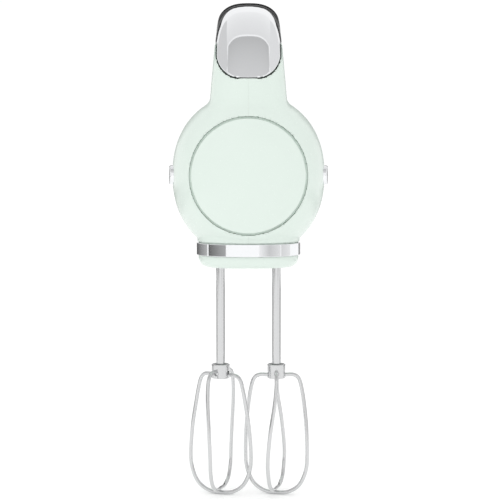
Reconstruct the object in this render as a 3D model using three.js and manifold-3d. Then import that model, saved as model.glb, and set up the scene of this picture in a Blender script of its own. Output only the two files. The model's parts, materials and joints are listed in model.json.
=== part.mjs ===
// Hand mixer with two wire beaters.
// Millimetres, +Z up. The front cap faces -Y and +X is to the right of someone who looks at the front.
// The origin is at the bottom centre of the whole object: z = 0 is the lowest point of the beaters.

import * as THREE from 'three';
import { mergeVertices } from 'three/addons/utils/BufferGeometryUtils.js';
import Module from 'manifold-3d';

const wasm = await Module();
wasm.setup();

// ---------------------------------------------------------------- driving dimensions

const HALF_LENGTH = 105;          // front cap apex at -Y, heel pad at +Y
const GAP = 0.3;                  // between neighbouring pieces
const WALL = 2.4;                 // housing wall
const SEAM = 0.15;                // half of the gap between the two housing halves

const DRIVE_Y = -66;              // plane of both beater axes, where the barrel is widest
const BEATER_X = 16.8;            // each beater axis, left and right
const MOTOR_Z = 190;              // motor axis, along Y

const BARREL_Z = 193.5;
const BARREL_HALF_WIDTH = 45.4;
const BARREL_HALF_HEIGHT = 48.3;
const CAP_Y = -97;                // rim of the front cap
const CAP_RADIUS = 33.7;
const HEEL_COVER_Y = 98.7;        // joint between the housing and the heel cover
const HEEL_FACE_Y = 103.6;        // the flat back of the heel cover

const TURRET_HALF = { x: 30.6, y: 27.4 };
const TURRET_POWER = 2.5;
const BASE_BOTTOM_Z = 139;
const BAND_BOTTOM_Z = 146.3;
const BAND_TOP_Z = 153.9;
const BAND_PROUD = 0.5;
const BAND_THICKNESS = 1.3;

const NOSE_BOTTOM_Z = 251.6;
const NOSE_HALF_WIDTH = 19.8;
const NOSE_CORNER = 11;
const NOSE_WALL = 1.8;
const LEVER_PIN = { y: -48, z: 286, radius: 1.2, halfLength: 15.6 };
const LEVER_TURN = THREE.MathUtils.degToRad(4.5);

const SHAFT_RADIUS = 2.6;
const SHAFT_TOP_Z = 189;
const SPINDLE_BORE = 3.0;
const SPINDLE_RADIUS = 5.0;
const SPINDLE_BOTTOM_Z = 139.6;
const SPINDLE_TOP_Z = 212;
const PLUNGER_TOP_Z = 219;

const COLLAR = { bottom: 71.1, top: 79.8, radius: 5.5 };
const WIRE_RADIUS = 1.15;

const MODULE = 1;                 // worm and worm gears
const GEAR_TEETH = 24;
const WORM_STARTS = 2;
const GEAR_FACE = 8;
const GEAR_PITCH_RADIUS = MODULE * GEAR_TEETH / 2;
const WORM_PITCH_RADIUS = BEATER_X - GEAR_PITCH_RADIUS;
const AXIAL_PITCH = Math.PI * MODULE;
const LEAD_PER_RADIAN = WORM_STARTS * AXIAL_PITCH / (2 * Math.PI);
const TOOTH_SHARE = 0.4;          // tooth thickness over the pitch, the rest is backlash
const ADDENDUM = 0.8;
const DEDENDUM = 1.2;

// ---------------------------------------------------------------- colours and finishes

const finish = (color, roughness, metalness) => ({ color, roughness, metalness });
const MINT = finish(0xd9ebdf, 0.3, 0);
const CHROME = finish(0xe2e4e6, 0.08, 1);
const STEEL = finish(0xc4c6c8, 0.25, 1);
const BLACK_GLOSS = finish(0x1a1b1d, 0.12, 0);
const BLACK_RUBBER = finish(0x202122, 0.8, 0);
const SMOKED = finish(0x101214, 0.05, 0);
const NYLON = finish(0xe9e6da, 0.5, 0);
const COPPER = finish(0xb4673a, 0.35, 1);
const CORE_STEEL = finish(0x777a7d, 0.5, 1);
const BRASS = finish(0xc8a45c, 0.3, 1);
const BOARD_GREEN = finish(0x1f5a35, 0.6, 0);
const GREY_PLASTIC = finish(0x6d7174, 0.5, 0);

// ---------------------------------------------------------------- helpers

const mixer = new THREE.Group();

function mix(from, to, share) {
  return from + (to - from) * share;
}

function smooth(start, end, value) {
  return THREE.MathUtils.smoothstep(value, start, end);
}

// Closed solid from a closed three.js geometry.
function solid(geometry) {
  const bare = geometry.clone();
  bare.deleteAttribute('normal');
  bare.deleteAttribute('uv');
  const merged = mergeVertices(bare, 1e-4);
  const vertProperties = new Float32Array(merged.attributes.position.array);
  const triVerts = new Uint32Array(merged.index.array);
  const shape = new wasm.Manifold(new wasm.Mesh({ numProp: 3, vertProperties, triVerts }));
  return shape;
}

// Moves every vertex with place(vertex), then turns the faces out if the move turned them in.
function reshape(geometry, place) {
  const bare = geometry.clone();
  bare.deleteAttribute('normal');
  bare.deleteAttribute('uv');
  const merged = mergeVertices(bare, 1e-5);
  const position = merged.attributes.position;
  const vertex = new THREE.Vector3();
  for (let i = 0; i < position.count; i += 1) {
    vertex.fromBufferAttribute(position, i);
    place(vertex);
    position.setXYZ(i, vertex.x, vertex.y, vertex.z);
  }
  if (signedVolume(merged) < 0) {
    const index = merged.index;
    for (let i = 0; i < index.count; i += 3) {
      const first = index.getX(i);
      index.setX(i, index.getX(i + 1));
      index.setX(i + 1, first);
    }
  }
  return merged;
}

function signedVolume(geometry) {
  const { index } = geometry;
  const { position } = geometry.attributes;
  const a = new THREE.Vector3();
  const b = new THREE.Vector3();
  const c = new THREE.Vector3();
  let volume = 0;
  for (let i = 0; i < index.count; i += 3) {
    a.fromBufferAttribute(position, index.getX(i));
    b.fromBufferAttribute(position, index.getX(i + 1));
    c.fromBufferAttribute(position, index.getX(i + 2));
    volume += a.dot(b.cross(c)) / 6;
  }
  return volume;
}

function geometryOf(shape) {
  const { vertProperties, triVerts } = shape.getMesh();
  const geometry = new THREE.BufferGeometry();
  geometry.setAttribute('position', new THREE.BufferAttribute(vertProperties, 3));
  geometry.setIndex(new THREE.BufferAttribute(triVerts, 1));
  return geometry;
}

function addPiece(name, shape, look) {
  const geometry = shape.isBufferGeometry ? shape : geometryOf(shape);
  const piece = new THREE.Mesh(geometry, new THREE.MeshStandardMaterial(look));
  piece.name = name;
  mixer.add(piece);
}

function block(xLow, xHigh, yLow, yHigh, zLow, zHigh) {
  const box = new THREE.BoxGeometry(xHigh - xLow, yHigh - yLow, zHigh - zLow);
  box.translate((xLow + xHigh) / 2, (yLow + yHigh) / 2, (zLow + zHigh) / 2);
  return solid(box);
}

// Upright cylinder about the line (x, y).
function post(x, y, zLow, zHigh, radius, sides = 14) {
  const rod = new THREE.CylinderGeometry(radius, radius, zHigh - zLow, sides);
  rod.rotateX(Math.PI / 2);
  rod.translate(x, y, (zLow + zHigh) / 2);
  return solid(rod);
}

// Cylinder along Y about the line (x, z).
function bar(x, z, yLow, yHigh, radius, sides = 18) {
  const rod = new THREE.CylinderGeometry(radius, radius, yHigh - yLow, sides);
  rod.translate(x, (yLow + yHigh) / 2, z);
  return solid(rod);
}

// Cylinder along X about the line (y, z).
function pin(y, z, xLow, xHigh, radius, sides = 16) {
  const rod = new THREE.CylinderGeometry(radius, radius, xHigh - xLow, sides);
  rod.rotateZ(Math.PI / 2);
  rod.translate((xLow + xHigh) / 2, y, z);
  return solid(rod);
}

// Solid turned about the motor axis, from points (radius, y).
function turnedAlongY(points, sides = 20) {
  const lathe = new THREE.LatheGeometry(points.map(([r, y]) => new THREE.Vector2(r, y)), sides);
  return solid(reshape(lathe, (v) => v.set(v.x, v.y, v.z + MOTOR_Z)));
}

// Solid turned about the upright line (x, y), from points (radius, z).
function turnedUpright(x, y, points, sides = 16) {
  const lathe = new THREE.LatheGeometry(points.map(([r, z]) => new THREE.Vector2(r, z)), sides);
  return solid(reshape(lathe, (v) => v.set(v.x + x, y - v.z, v.y)));
}

// Outline in the YZ plane, extruded across X.
function sidePrism(points, halfWidth) {
  const outline = new THREE.Shape(points.map(([y, z]) => new THREE.Vector2(y, z)));
  const prism = new THREE.ExtrudeGeometry(outline, { depth: 2 * halfWidth, bevelEnabled: false });
  return solid(reshape(prism, (v) => v.set(v.z - halfWidth, v.x, v.y)));
}

// Outline in the XZ plane, extruded along Y.
function frontPrism(outline, yLow, yHigh, curveSegments = 4) {
  const settings = { depth: yHigh - yLow, bevelEnabled: false, curveSegments };
  const prism = new THREE.ExtrudeGeometry(outline, settings);
  return solid(reshape(prism, (v) => v.set(v.x, yLow + v.z, v.y)));
}

// Outline in the XY plane, extruded up.
function planPrism(outline, zLow, zHigh, curveSegments = 4) {
  const settings = { depth: zHigh - zLow, bevelEnabled: false, curveSegments };
  const prism = new THREE.ExtrudeGeometry(outline, settings);
  return solid(reshape(prism, (v) => v.set(v.x, v.y, zLow + v.z)));
}

function roundedOutline(xCentre, yCentre, width, height, corner) {
  const left = xCentre - width / 2;
  const low = yCentre - height / 2;
  const outline = new THREE.Shape();
  outline.moveTo(left + corner, low);
  outline.lineTo(left + width - corner, low);
  outline.absarc(left + width - corner, low + corner, corner, -Math.PI / 2, 0);
  outline.lineTo(left + width, low + height - corner);
  outline.absarc(left + width - corner, low + height - corner, corner, 0, Math.PI / 2);
  outline.lineTo(left + corner, low + height);
  outline.absarc(left + corner, low + height - corner, corner, Math.PI / 2, Math.PI);
  outline.lineTo(left, low + corner);
  outline.absarc(left + corner, low + corner, corner, Math.PI, 1.5 * Math.PI);
  return outline;
}

// Loft of superellipse sections. section(t) gives centre, across, up, halfAcross, halfUp and power.
function loft(section, sides, rows) {
  const drum = new THREE.CylinderGeometry(1, 1, 1, sides, rows);
  const place = (v) => {
    const { centre, across, up, halfAcross, halfUp, power } = section(v.y + 0.5);
    const reach = Math.hypot(v.x, v.z);
    const angle = Math.atan2(v.z, v.x);
    const c = Math.cos(angle);
    const s = Math.sin(angle);
    const scale = reach / (Math.abs(c) ** power + Math.abs(s) ** power) ** (1 / power);
    v.copy(centre);
    v.addScaledVector(across, scale * c * halfAcross);
    v.addScaledVector(up, scale * s * halfUp(s));
  };
  return solid(reshape(drum, place));
}

// ---------------------------------------------------------------- outer skin of the body

const ACROSS = new THREE.Vector3(1, 0, 0);
const UP = new THREE.Vector3(0, 0, 1);

// Ellipse radius that falls from `widest` to `rim` as lead goes from 0 to 1.
function frontRadius(widest, rim, lead) {
  return Math.sqrt(widest ** 2 - (widest ** 2 - rim ** 2) * lead ** 2);
}

const RIM_RADIUS = CAP_RADIUS + 0.6;
const TAIL_START_Y = 68;
const TAIL_LENGTH = 52;
const BODY_REAR_HALF_WIDTH = 34;
const BODY_REAR_TOP = 30;
const BODY_MIDDLE_DEPTH = 36.5;
const BODY_REAR_DEPTH = 27;

// Half-width, height above BARREL_Z and depth below it, at one place along the body.
function bodySize(y) {
  if (y < DRIVE_Y) {
    const lead = (DRIVE_Y - y) / (DRIVE_Y - CAP_Y);
    const halfHeight = frontRadius(BARREL_HALF_HEIGHT, RIM_RADIUS, lead);
    return {
      halfWidth: frontRadius(BARREL_HALF_WIDTH, RIM_RADIUS, lead),
      top: halfHeight,
      bottom: halfHeight,
    };
  }
  const tail = Math.max(0, (y - TAIL_START_Y) / TAIL_LENGTH);
  const close = Math.sqrt(1 - tail ** 2);
  const middle = mix(BARREL_HALF_HEIGHT, BODY_MIDDLE_DEPTH, smooth(DRIVE_Y, -28, y));
  return {
    halfWidth: close * mix(BARREL_HALF_WIDTH, BODY_REAR_HALF_WIDTH, smooth(DRIVE_Y, 60, y)),
    top: close * mix(BARREL_HALF_HEIGHT, BODY_REAR_TOP, smooth(DRIVE_Y, -6, y)),
    bottom: close * mix(middle, BODY_REAR_DEPTH, smooth(-24, 90, y)),
  };
}

const BODY_SIDES = 26;
const BODY_ROWS = 12;

function bodyLoft(grow) {
  return loft((t) => {
    const y = mix(CAP_Y - grow, HEEL_FACE_Y + grow, t ** 1.15);
    const size = bodySize(Math.max(y, CAP_Y));
    return {
      centre: new THREE.Vector3(0, y, BARREL_Z),
      across: ACROSS,
      up: UP,
      halfAcross: size.halfWidth + grow,
      halfUp: (s) => (s > 0 ? size.top : size.bottom) + grow,
      power: 2 + 0.2 * smooth(CAP_Y, DRIVE_Y, y) + 0.1 * smooth(DRIVE_Y, 0, y),
    };
  }, BODY_SIDES, BODY_ROWS);
}

// Centre line of the handle in the YZ plane, from inside the barrel over the top to the heel.
const HANDLE_POINTS = [
  { y: -76, z: 205, halfWidth: 25, half: 20 },
  { y: -70, z: 240, halfWidth: 22.6, half: 18.5 },
  { y: -56, z: 268, halfWidth: 20.4, half: 17.2 },
  { y: -34, z: 280.4, halfWidth: 19.3, half: 16.8 },
  { y: 2, z: 282, halfWidth: 18.8, half: 16 },
  { y: 46, z: 276.8, halfWidth: 18.6, half: 15.6 },
  { y: 79, z: 257, halfWidth: 21, half: 16 },
  { y: 90, z: 224, halfWidth: 25, half: 17 },
  { y: 90, z: 190, halfWidth: 27, half: 17 },
];
const handleLine = new THREE.CatmullRomCurve3(
  HANDLE_POINTS.map(({ y, z }) => new THREE.Vector3(0, y, z)), false, 'catmullrom', 0.5);
const handleSizes = new THREE.CatmullRomCurve3(
  HANDLE_POINTS.map(({ halfWidth, half }) => new THREE.Vector3(halfWidth, half, 0)),
  false, 'catmullrom', 0.5);
const HANDLE_SIDES = 18;
const HANDLE_ROWS = 15;
const HANDLE_POWER = 2.6;

function handleLoft(grow) {
  return loft((t) => {
    const size = handleSizes.getPoint(t);
    const along = handleLine.getTangent(t);
    return {
      centre: handleLine.getPoint(t),
      across: ACROSS,
      up: new THREE.Vector3(0, -along.z, along.y),
      halfAcross: size.x + grow,
      halfUp: () => size.y + grow,
      power: HANDLE_POWER,
    };
  }, HANDLE_SIDES, HANDLE_ROWS);
}

const TURRET_SIDES = 24;

// Upright superellipse prism below the barrel, about the drive plane.
function turretLoft(grow, zLow, zHigh, inset = () => 0, rows = 1) {
  return loft((t) => {
    const z = mix(zLow, zHigh, t);
    return {
      centre: new THREE.Vector3(0, DRIVE_Y, z),
      across: ACROSS,
      up: new THREE.Vector3(0, 1, 0),
      halfAcross: TURRET_HALF.x + grow - inset(z),
      halfUp: () => TURRET_HALF.y + grow - inset(z),
      power: TURRET_POWER,
    };
  }, TURRET_SIDES, rows);
}

const TURRET_TOP_Z = 176;
const FULL_CUT = 400;
const RIM_SIDES = 32;

function skin(grow) {
  const whole = bodyLoft(grow)
    .add(handleLoft(grow))
    .add(turretLoft(grow, BAND_BOTTOM_Z - 5, TURRET_TOP_Z));
  return whole.subtract(block(-60, 60, HEEL_FACE_Y, FULL_CUT, 0, FULL_CUT));
}

const outerSkin = skin(0);
const proudSkin = skin(BAND_PROUD);
const wallSkin = skin(-WALL);
const coverSkin = skin(-NOSE_WALL);

// ---------------------------------------------------------------- covers that follow the skin

// Boundary between the nose and the control panel, in side view.
const BOUNDARY_LOW = { y: -57, z: 281 };
const BOUNDARY_HIGH = { y: -45, z: 300 };
const PANEL_REAR = { y: 36, z: 289.2 };
const SKY_Z = 312;

function noseRegion(gap) {
  const halfWidth = NOSE_HALF_WIDTH + gap;
  const corner = NOSE_CORNER + gap;
  const low = NOSE_BOTTOM_Z - gap;
  const shoulder = 279;
  const wide = 30;
  const outline = new THREE.Shape();
  outline.moveTo(-halfWidth + corner, low);
  outline.lineTo(halfWidth - corner, low);
  outline.absarc(halfWidth - corner, low + corner, corner, -Math.PI / 2, 0);
  outline.lineTo(halfWidth, shoulder - 6);
  outline.lineTo(wide, shoulder);
  outline.lineTo(wide, SKY_Z);
  outline.lineTo(-wide, SKY_Z);
  outline.lineTo(-wide, shoulder);
  outline.lineTo(-halfWidth, shoulder - 6);
  outline.lineTo(-halfWidth, low + corner);
  outline.absarc(-halfWidth + corner, low + corner, corner, Math.PI, 1.5 * Math.PI);
  const front = frontPrism(outline, -120, BOUNDARY_HIGH.y + 2);
  const side = sidePrism([
    [-120, low - 1],
    [-66, low - 1],
    [BOUNDARY_LOW.y - 6 + gap, 270],
    [BOUNDARY_LOW.y + gap, BOUNDARY_LOW.z],
    [BOUNDARY_HIGH.y + gap, BOUNDARY_HIGH.z],
    [BOUNDARY_HIGH.y + gap, SKY_Z],
    [-120, SKY_Z],
  ], 40);
  return front.intersect(side);
}

function panelRegion(gap) {
  return sidePrism([
    [BOUNDARY_LOW.y + GAP - gap, BOUNDARY_LOW.z - gap],
    [BOUNDARY_HIGH.y + GAP - gap, BOUNDARY_HIGH.z],
    [BOUNDARY_HIGH.y + GAP - gap, SKY_Z],
    [PANEL_REAR.y + 6 + gap, SKY_Z],
    [PANEL_REAR.y + 6 + gap, PANEL_REAR.z + 6],
    [PANEL_REAR.y + gap, PANEL_REAR.z - gap],
  ], 40);
}

// The nose at one angle of its lever, for the swept cut in the housing.
function turnAboutLeverPin(shape, angle) {
  const move = new THREE.Matrix4().makeTranslation(0, LEVER_PIN.y, LEVER_PIN.z)
    .multiply(new THREE.Matrix4().makeRotationX(angle))
    .multiply(new THREE.Matrix4().makeTranslation(0, -LEVER_PIN.y, -LEVER_PIN.z));
  return shape.transform(move.elements);
}

// ---------------------------------------------------------------- housing

const TRIM = { zLow: 187.8, zHigh: 199.2, yLow: -76, yHigh: -12, proud: 2, depth: 1.2 };
const CORD_INLET = { y: 84, radius: 4.6, flange: 6.4, bore: 3.2 };

function trimRegion(gap) {
  const outline = new THREE.Shape();
  const mid = (TRIM.zLow + TRIM.zHigh) / 2;
  const half = (TRIM.zHigh - TRIM.zLow) / 2 + gap;
  const end = (TRIM.zHigh - TRIM.zLow) / 2;
  outline.absarc(TRIM.yHigh - end, mid, half, -Math.PI / 2, Math.PI / 2);
  outline.absarc(TRIM.yLow + end, mid, half, Math.PI / 2, 1.5 * Math.PI);
  const settings = { depth: 60, bevelEnabled: false, curveSegments: 4 };
  const prism = new THREE.ExtrudeGeometry(outline, settings);
  return solid(reshape(prism, (v) => v.set(20 + v.z, v.x, v.y)));
}

function ventSlots() {
  let slots = null;
  for (let i = 0; i < 6; i += 1) {
    const y = 28 + i * 6.4;
    const slot = block(-60, 60, y, y + 2.6, 180, 196);
    slots = slots ? slots.add(slot) : slot;
  }
  return slots;
}

function mirrored(shape) {
  return shape.mirror([1, 0, 0]);
}

function housing() {
  let shell = outerSkin.subtract(wallSkin);
  shell = shell.subtract(block(-60, 60, HEEL_COVER_Y, FULL_CUT, 0, FULL_CUT));
  shell = shell.subtract(bar(0, BARREL_Z, -130, -88, CAP_RADIUS + GAP, RIM_SIDES));
  shell = shell.subtract(block(-60, 60, -130, 0, 0, BAND_BOTTOM_Z - 0.1));
  const bandSlot = BAND_PROUD - BAND_THICKNESS - GAP;
  shell = shell.subtract(turretLoft(3, BAND_BOTTOM_Z - 2, BAND_TOP_Z + GAP)
    .subtract(turretLoft(bandSlot, BAND_BOTTOM_Z - 3, BAND_TOP_Z + 1)));
  shell = shell.subtract(panelRegion(GAP));
  const room = noseRegion(GAP).intersect(proudSkin).subtract(skin(-NOSE_WALL - 0.7));
  for (const share of [0.2, 0.4, 0.6, 0.8, 1]) {
    shell = shell.subtract(turnAboutLeverPin(room, share * LEVER_TURN));
  }
  shell = shell.subtract(noseRegion(GAP).subtract(turretLoft(0, 100, 200)));
  const trimRoom = trimRegion(GAP).subtract(skin(-TRIM.depth - GAP));
  shell = shell.subtract(trimRoom).subtract(mirrored(trimRoom));
  shell = shell.subtract(ventSlots());
  shell = shell.subtract(post(0, CORD_INLET.y, 150, 190, CORD_INLET.radius + GAP));
  return shell;
}

const housingShell = housing();
addPiece('housing_left', housingShell.subtract(block(-SEAM, 90, -200, 200, 0, FULL_CUT)), MINT);
addPiece('housing_right', housingShell.subtract(block(-90, SEAM, -200, 200, 0, FULL_CUT)), MINT);

// Domed disc with a rounded rim that closes the front of the barrel.
function frontCap() {
  const dome = 6.6;
  const rimY = -HALF_LENGTH + dome + 1.2;
  const outer = [];
  const inner = [];
  for (let i = 0; i <= 4; i += 1) {
    const share = Math.sin(i / 4 * Math.PI / 2);
    const sag = dome * (1 - Math.sqrt(1 - 0.8 * share ** 2)) / (1 - Math.sqrt(0.2));
    outer.push([(CAP_RADIUS - 0.8) * share, -HALF_LENGTH + sag]);
    inner.push([(CAP_RADIUS - 3.2) * share, -HALF_LENGTH + sag + 2.2]);
  }
  const rim = [[CAP_RADIUS, rimY], [CAP_RADIUS, -91], [CAP_RADIUS - 2, -91]];
  const profile = [...outer, ...rim, ...inner.reverse()];
  const lathe = new THREE.LatheGeometry(profile.map(([r, y]) => new THREE.Vector2(r, y)), RIM_SIDES);
  return solid(reshape(lathe, (v) => v.set(v.x, v.y, v.z + BARREL_Z)));
}
addPiece('front_cap', frontCap(), MINT);

// ---------------------------------------------------------------- heel, cord inlet, side trims

const HEEL_PAD = { z: 206, width: 26, height: 44, corner: 8, frontY: 102.4 };
const HEEL_SCREW_Z = [178.8, 235];
const SCREW = { shank: 1.5, head: 2.9, headHeight: 2.2 };

function heelPad(gap) {
  const { z, width, height, corner, frontY } = HEEL_PAD;
  const outline = roundedOutline(0, z, width + 2 * gap, height + 2 * gap, corner + gap);
  return frontPrism(outline, frontY - gap, HALF_LENGTH);
}

function heelScrew(z, gap) {
  const head = bar(0, z, HEEL_FACE_Y - 3, HEEL_FACE_Y - 3 + SCREW.headHeight + 8 * gap, SCREW.head + gap, 14);
  return head.add(bar(0, z, 92, HEEL_FACE_Y - 2, SCREW.shank + gap, 10));
}

function heelCover() {
  let cover = outerSkin.intersect(block(-60, 60, HEEL_COVER_Y + GAP, HEEL_FACE_Y, 0, FULL_CUT));
  cover = cover.subtract(heelPad(GAP));
  for (const z of HEEL_SCREW_Z) {
    cover = cover.subtract(heelScrew(z, GAP));
  }
  return cover;
}
addPiece('heel_cover', heelCover(), MINT);
addPiece('heel_pad', heelPad(0), BLACK_RUBBER);
addPiece('heel_screw_lower', heelScrew(HEEL_SCREW_Z[0], 0), STEEL);
addPiece('heel_screw_upper', heelScrew(HEEL_SCREW_Z[1], 0), STEEL);

// Rubber grommet: a collar that follows the underside, and a neck through the wall.
function cordInlet() {
  const collar = post(0, CORD_INLET.y, 163, 180, CORD_INLET.flange).subtract(skin(GAP));
  const neck = post(0, CORD_INLET.y, 166, 178, CORD_INLET.radius);
  return collar.add(neck).subtract(post(0, CORD_INLET.y, 150, 190, CORD_INLET.bore));
}
addPiece('cord_inlet', cordInlet(), BLACK_RUBBER);

// Chrome bar on the side of the barrel, with shallow upright grooves.
function sideTrim() {
  let trim = trimRegion(0).intersect(skin(TRIM.proud)).subtract(skin(-TRIM.depth));
  for (let i = 0; i < 9; i += 1) {
    const y = (TRIM.yLow + TRIM.yHigh) / 2 - 0.8 + (i - 4) * 5.4;
    const groove = block(20, 60, y, y + 1.6, 150, 230).subtract(skin(TRIM.proud - 0.8));
    trim = trim.subtract(groove);
  }
  return trim;
}
const rightTrim = sideTrim();
addPiece('side_trim_right', rightTrim, CHROME);
addPiece('side_trim_left', mirrored(rightTrim), CHROME);

// ---------------------------------------------------------------- turret band and base cover

const BASE_TOP_Z = BAND_BOTTOM_Z - GAP;
const BASE_WALL = 2.6;
const BASE_SCREW_Y = [DRIVE_Y - 19, DRIVE_Y + 19];
const SOCKET_LIP = { halfX: 23, halfY: 8, drop: 0.7 };

function trimBand() {
  const outer = turretLoft(BAND_PROUD, BAND_BOTTOM_Z, BAND_TOP_Z);
  return outer.subtract(turretLoft(BAND_PROUD - BAND_THICKNESS, BAND_BOTTOM_Z - 1, BAND_TOP_Z + 1));
}
addPiece('trim_band', trimBand(), CHROME);

function baseScrew(y, gap) {
  const head = post(0, y, BASE_BOTTOM_Z + 0.8 - 8 * gap, BASE_BOTTOM_Z + 3, SCREW.head + gap, 14);
  return head.add(post(0, y, BASE_BOTTOM_Z + 2, 163, SCREW.shank + gap, 10));
}

function baseCover() {
  const rounding = 6;
  const inset = (z) => {
    const below = Math.max(0, (BASE_BOTTOM_Z + rounding - z) / rounding);
    return 0.7 + rounding * (1 - Math.sqrt(1 - below ** 2 * 0.96));
  };
  const outer = turretLoft(0, BASE_BOTTOM_Z, BASE_TOP_Z, inset, 5);
  const inner = turretLoft(-BASE_WALL - 0.7, BASE_BOTTOM_Z + BASE_WALL, BASE_TOP_Z + 5);
  let cover = outer.subtract(inner);
  const lip = roundedOutline(0, DRIVE_Y, 2 * SOCKET_LIP.halfX, 2 * SOCKET_LIP.halfY, SOCKET_LIP.halfY);
  cover = cover.add(planPrism(lip, BASE_BOTTOM_Z - SOCKET_LIP.drop, BASE_BOTTOM_Z + 1));
  for (const y of BASE_SCREW_Y) {
    cover = cover.add(post(0, y, BASE_BOTTOM_Z + 1, BASE_TOP_Z - 1, 5, 16));
    cover = cover.subtract(baseScrew(y, GAP));
  }
  for (const x of [-BEATER_X, BEATER_X]) {
    cover = cover.subtract(post(x, DRIVE_Y, 130, 150, SPINDLE_RADIUS + GAP));
  }
  return cover;
}
addPiece('base_cover', baseCover(), MINT);
addPiece('base_screw_front', baseScrew(BASE_SCREW_Y[0], 0), STEEL);
addPiece('base_screw_rear', baseScrew(BASE_SCREW_Y[1], 0), STEEL);

// ---------------------------------------------------------------- control panel and its buttons

const ROCKER = { y: -17, width: 12, length: 21, floor: 289 };
const TURBO = { y: 4, radius: 5.6, floor: 290 };
const POWER = { y: 18, radius: 4.4, floor: 289.5 };
const LENS = { y: 29, width: 12, length: 9, floor: 290.5 };
const PANEL_WALL = 1.9;
const BUTTON_GAP = 0.4;

function rockerPrism(gap) {
  const outline = roundedOutline(0, ROCKER.y, ROCKER.width + 2 * gap, ROCKER.length + 2 * gap, 4 + gap);
  return planPrism(outline, ROCKER.floor, SKY_Z);
}

function lensPrism(gap) {
  const outline = roundedOutline(0, LENS.y, LENS.width + 2 * gap, LENS.length + 2 * gap, 2 + gap);
  return planPrism(outline, LENS.floor, SKY_Z);
}

function controlPanel() {
  return panelRegion(0)
    .intersect(proudSkin)
    .subtract(skin(-PANEL_WALL))
    .subtract(rockerPrism(BUTTON_GAP + 0.2))
    .subtract(lensPrism(GAP))
    .subtract(post(0, TURBO.y, TURBO.floor, SKY_Z, TURBO.radius + BUTTON_GAP))
    .subtract(post(0, POWER.y, POWER.floor, SKY_Z, POWER.radius + BUTTON_GAP))
    .subtract(pin(LEVER_PIN.y, LEVER_PIN.z, -LEVER_PIN.halfLength - GAP, LEVER_PIN.halfLength + GAP,
      LEVER_PIN.radius + GAP));
}
addPiece('control_panel', controlPanel(), BLACK_GLOSS);

const buttonTop = skin(1.5);
const rockerTop = buttonTop.subtract(pin(ROCKER.y, 339, -20, 20, 40.4, 64));
addPiece('speed_rocker', rockerPrism(0).intersect(rockerTop), GREY_PLASTIC);
addPiece('turbo_button', post(0, TURBO.y, TURBO.floor, SKY_Z, TURBO.radius).intersect(buttonTop), GREY_PLASTIC);
addPiece('power_button', post(0, POWER.y, POWER.floor, SKY_Z, POWER.radius).intersect(buttonTop), GREY_PLASTIC);
addPiece('display_lens', lensPrism(0).intersect(proudSkin), SMOKED);
addPiece('display_board', block(-8, 8, 24, 34, 288, 289.6), BOARD_GREEN);
addPiece('control_board', block(-11, 11, -34, 20, 282, 283.6), BOARD_GREEN);
addPiece('power_board', block(-17, 17, 50, 78, 178, 179.6), BOARD_GREEN);

// ---------------------------------------------------------------- eject lever, its pin and the yoke

const LUG = { inner: 9.5, outer: 12.5, radius: 3 };
const RAMP_HALF_WIDTH = 4;
const YOKE_BAR = { low: PLUNGER_TOP_Z + GAP, high: PLUNGER_TOP_Z + 4, halfX: BEATER_X + 4.2 };
// The lever's finger ends in a round tip that rests on the yoke's 45 degree ramp, z = y + RAMP_OFFSET.
const TIP = { y: LEVER_PIN.y - 20, z: LEVER_PIN.z - 35, radius: 2 };
const RAMP_OFFSET = TIP.z - TIP.y - Math.SQRT2 * (TIP.radius + GAP);

function leverLug(side) {
  const low = Math.min(side * LUG.inner, side * LUG.outer);
  const high = Math.max(side * LUG.inner, side * LUG.outer);
  const eye = pin(LEVER_PIN.y, LEVER_PIN.z, low, high, LUG.radius);
  const arm = block(low, high, -66, LEVER_PIN.y, LEVER_PIN.z - LUG.radius, LEVER_PIN.z + LUG.radius - 0.4);
  return eye.add(arm);
}

function ejectLever() {
  const panelRoom = turnAboutLeverPin(panelRegion(1.6 * GAP), -LEVER_TURN);
  const region = noseRegion(0).subtract(panelRoom);
  const plate = region.intersect(outerSkin).subtract(coverSkin);
  const inside = skin(-PANEL_WALL - 0.5).add(region.intersect(skin(-1)));
  const finger = sidePrism([
    [-86, TIP.z + 2],
    [TIP.y, TIP.z - TIP.radius],
    [TIP.y, TIP.z + TIP.radius],
    [-86, TIP.z + 13],
  ], RAMP_HALF_WIDTH);
  const tip = pin(TIP.y, TIP.z, -RAMP_HALF_WIDTH, RAMP_HALF_WIDTH, TIP.radius);
  const lugs = leverLug(-1).add(leverLug(1));
  const bore = pin(LEVER_PIN.y, LEVER_PIN.z, -20, 20, LEVER_PIN.radius + GAP);
  return plate.add(lugs.add(finger).intersect(inside)).add(tip).subtract(bore);
}
addPiece('eject_lever', ejectLever(), CHROME);
addPiece('lever_pivot_pin',
  pin(LEVER_PIN.y, LEVER_PIN.z, -LEVER_PIN.halfLength, LEVER_PIN.halfLength, LEVER_PIN.radius), STEEL);

function ejectYoke() {
  const rampLow = TIP.z - 6;
  const rampHigh = TIP.z + 4;
  const stem = sidePrism([
    [rampLow - RAMP_OFFSET, rampLow],
    [rampHigh - RAMP_OFFSET, rampHigh],
    [-58, rampHigh],
    [-58, YOKE_BAR.low],
    [-71.5, YOKE_BAR.low],
    [-71.5, rampLow - 2],
  ], RAMP_HALF_WIDTH);
  const cross = block(-YOKE_BAR.halfX, YOKE_BAR.halfX, DRIVE_Y - 4, DRIVE_Y + 4, YOKE_BAR.low, YOKE_BAR.high);
  return stem.add(cross);
}
addPiece('eject_yoke', ejectYoke(), NYLON);

// ---------------------------------------------------------------- gearbox frame, spindles and gears

const FRAME = { low: 160, floor: 164, top: 204, roof: 207, front: -88, rear: -44, wall: 2.4, halfX: 12 };
const BEARING = { radius: 8, frontY: -49, rearY: 36, length: 6 };
const SHAFT_MOTOR_RADIUS = 3;

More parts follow.
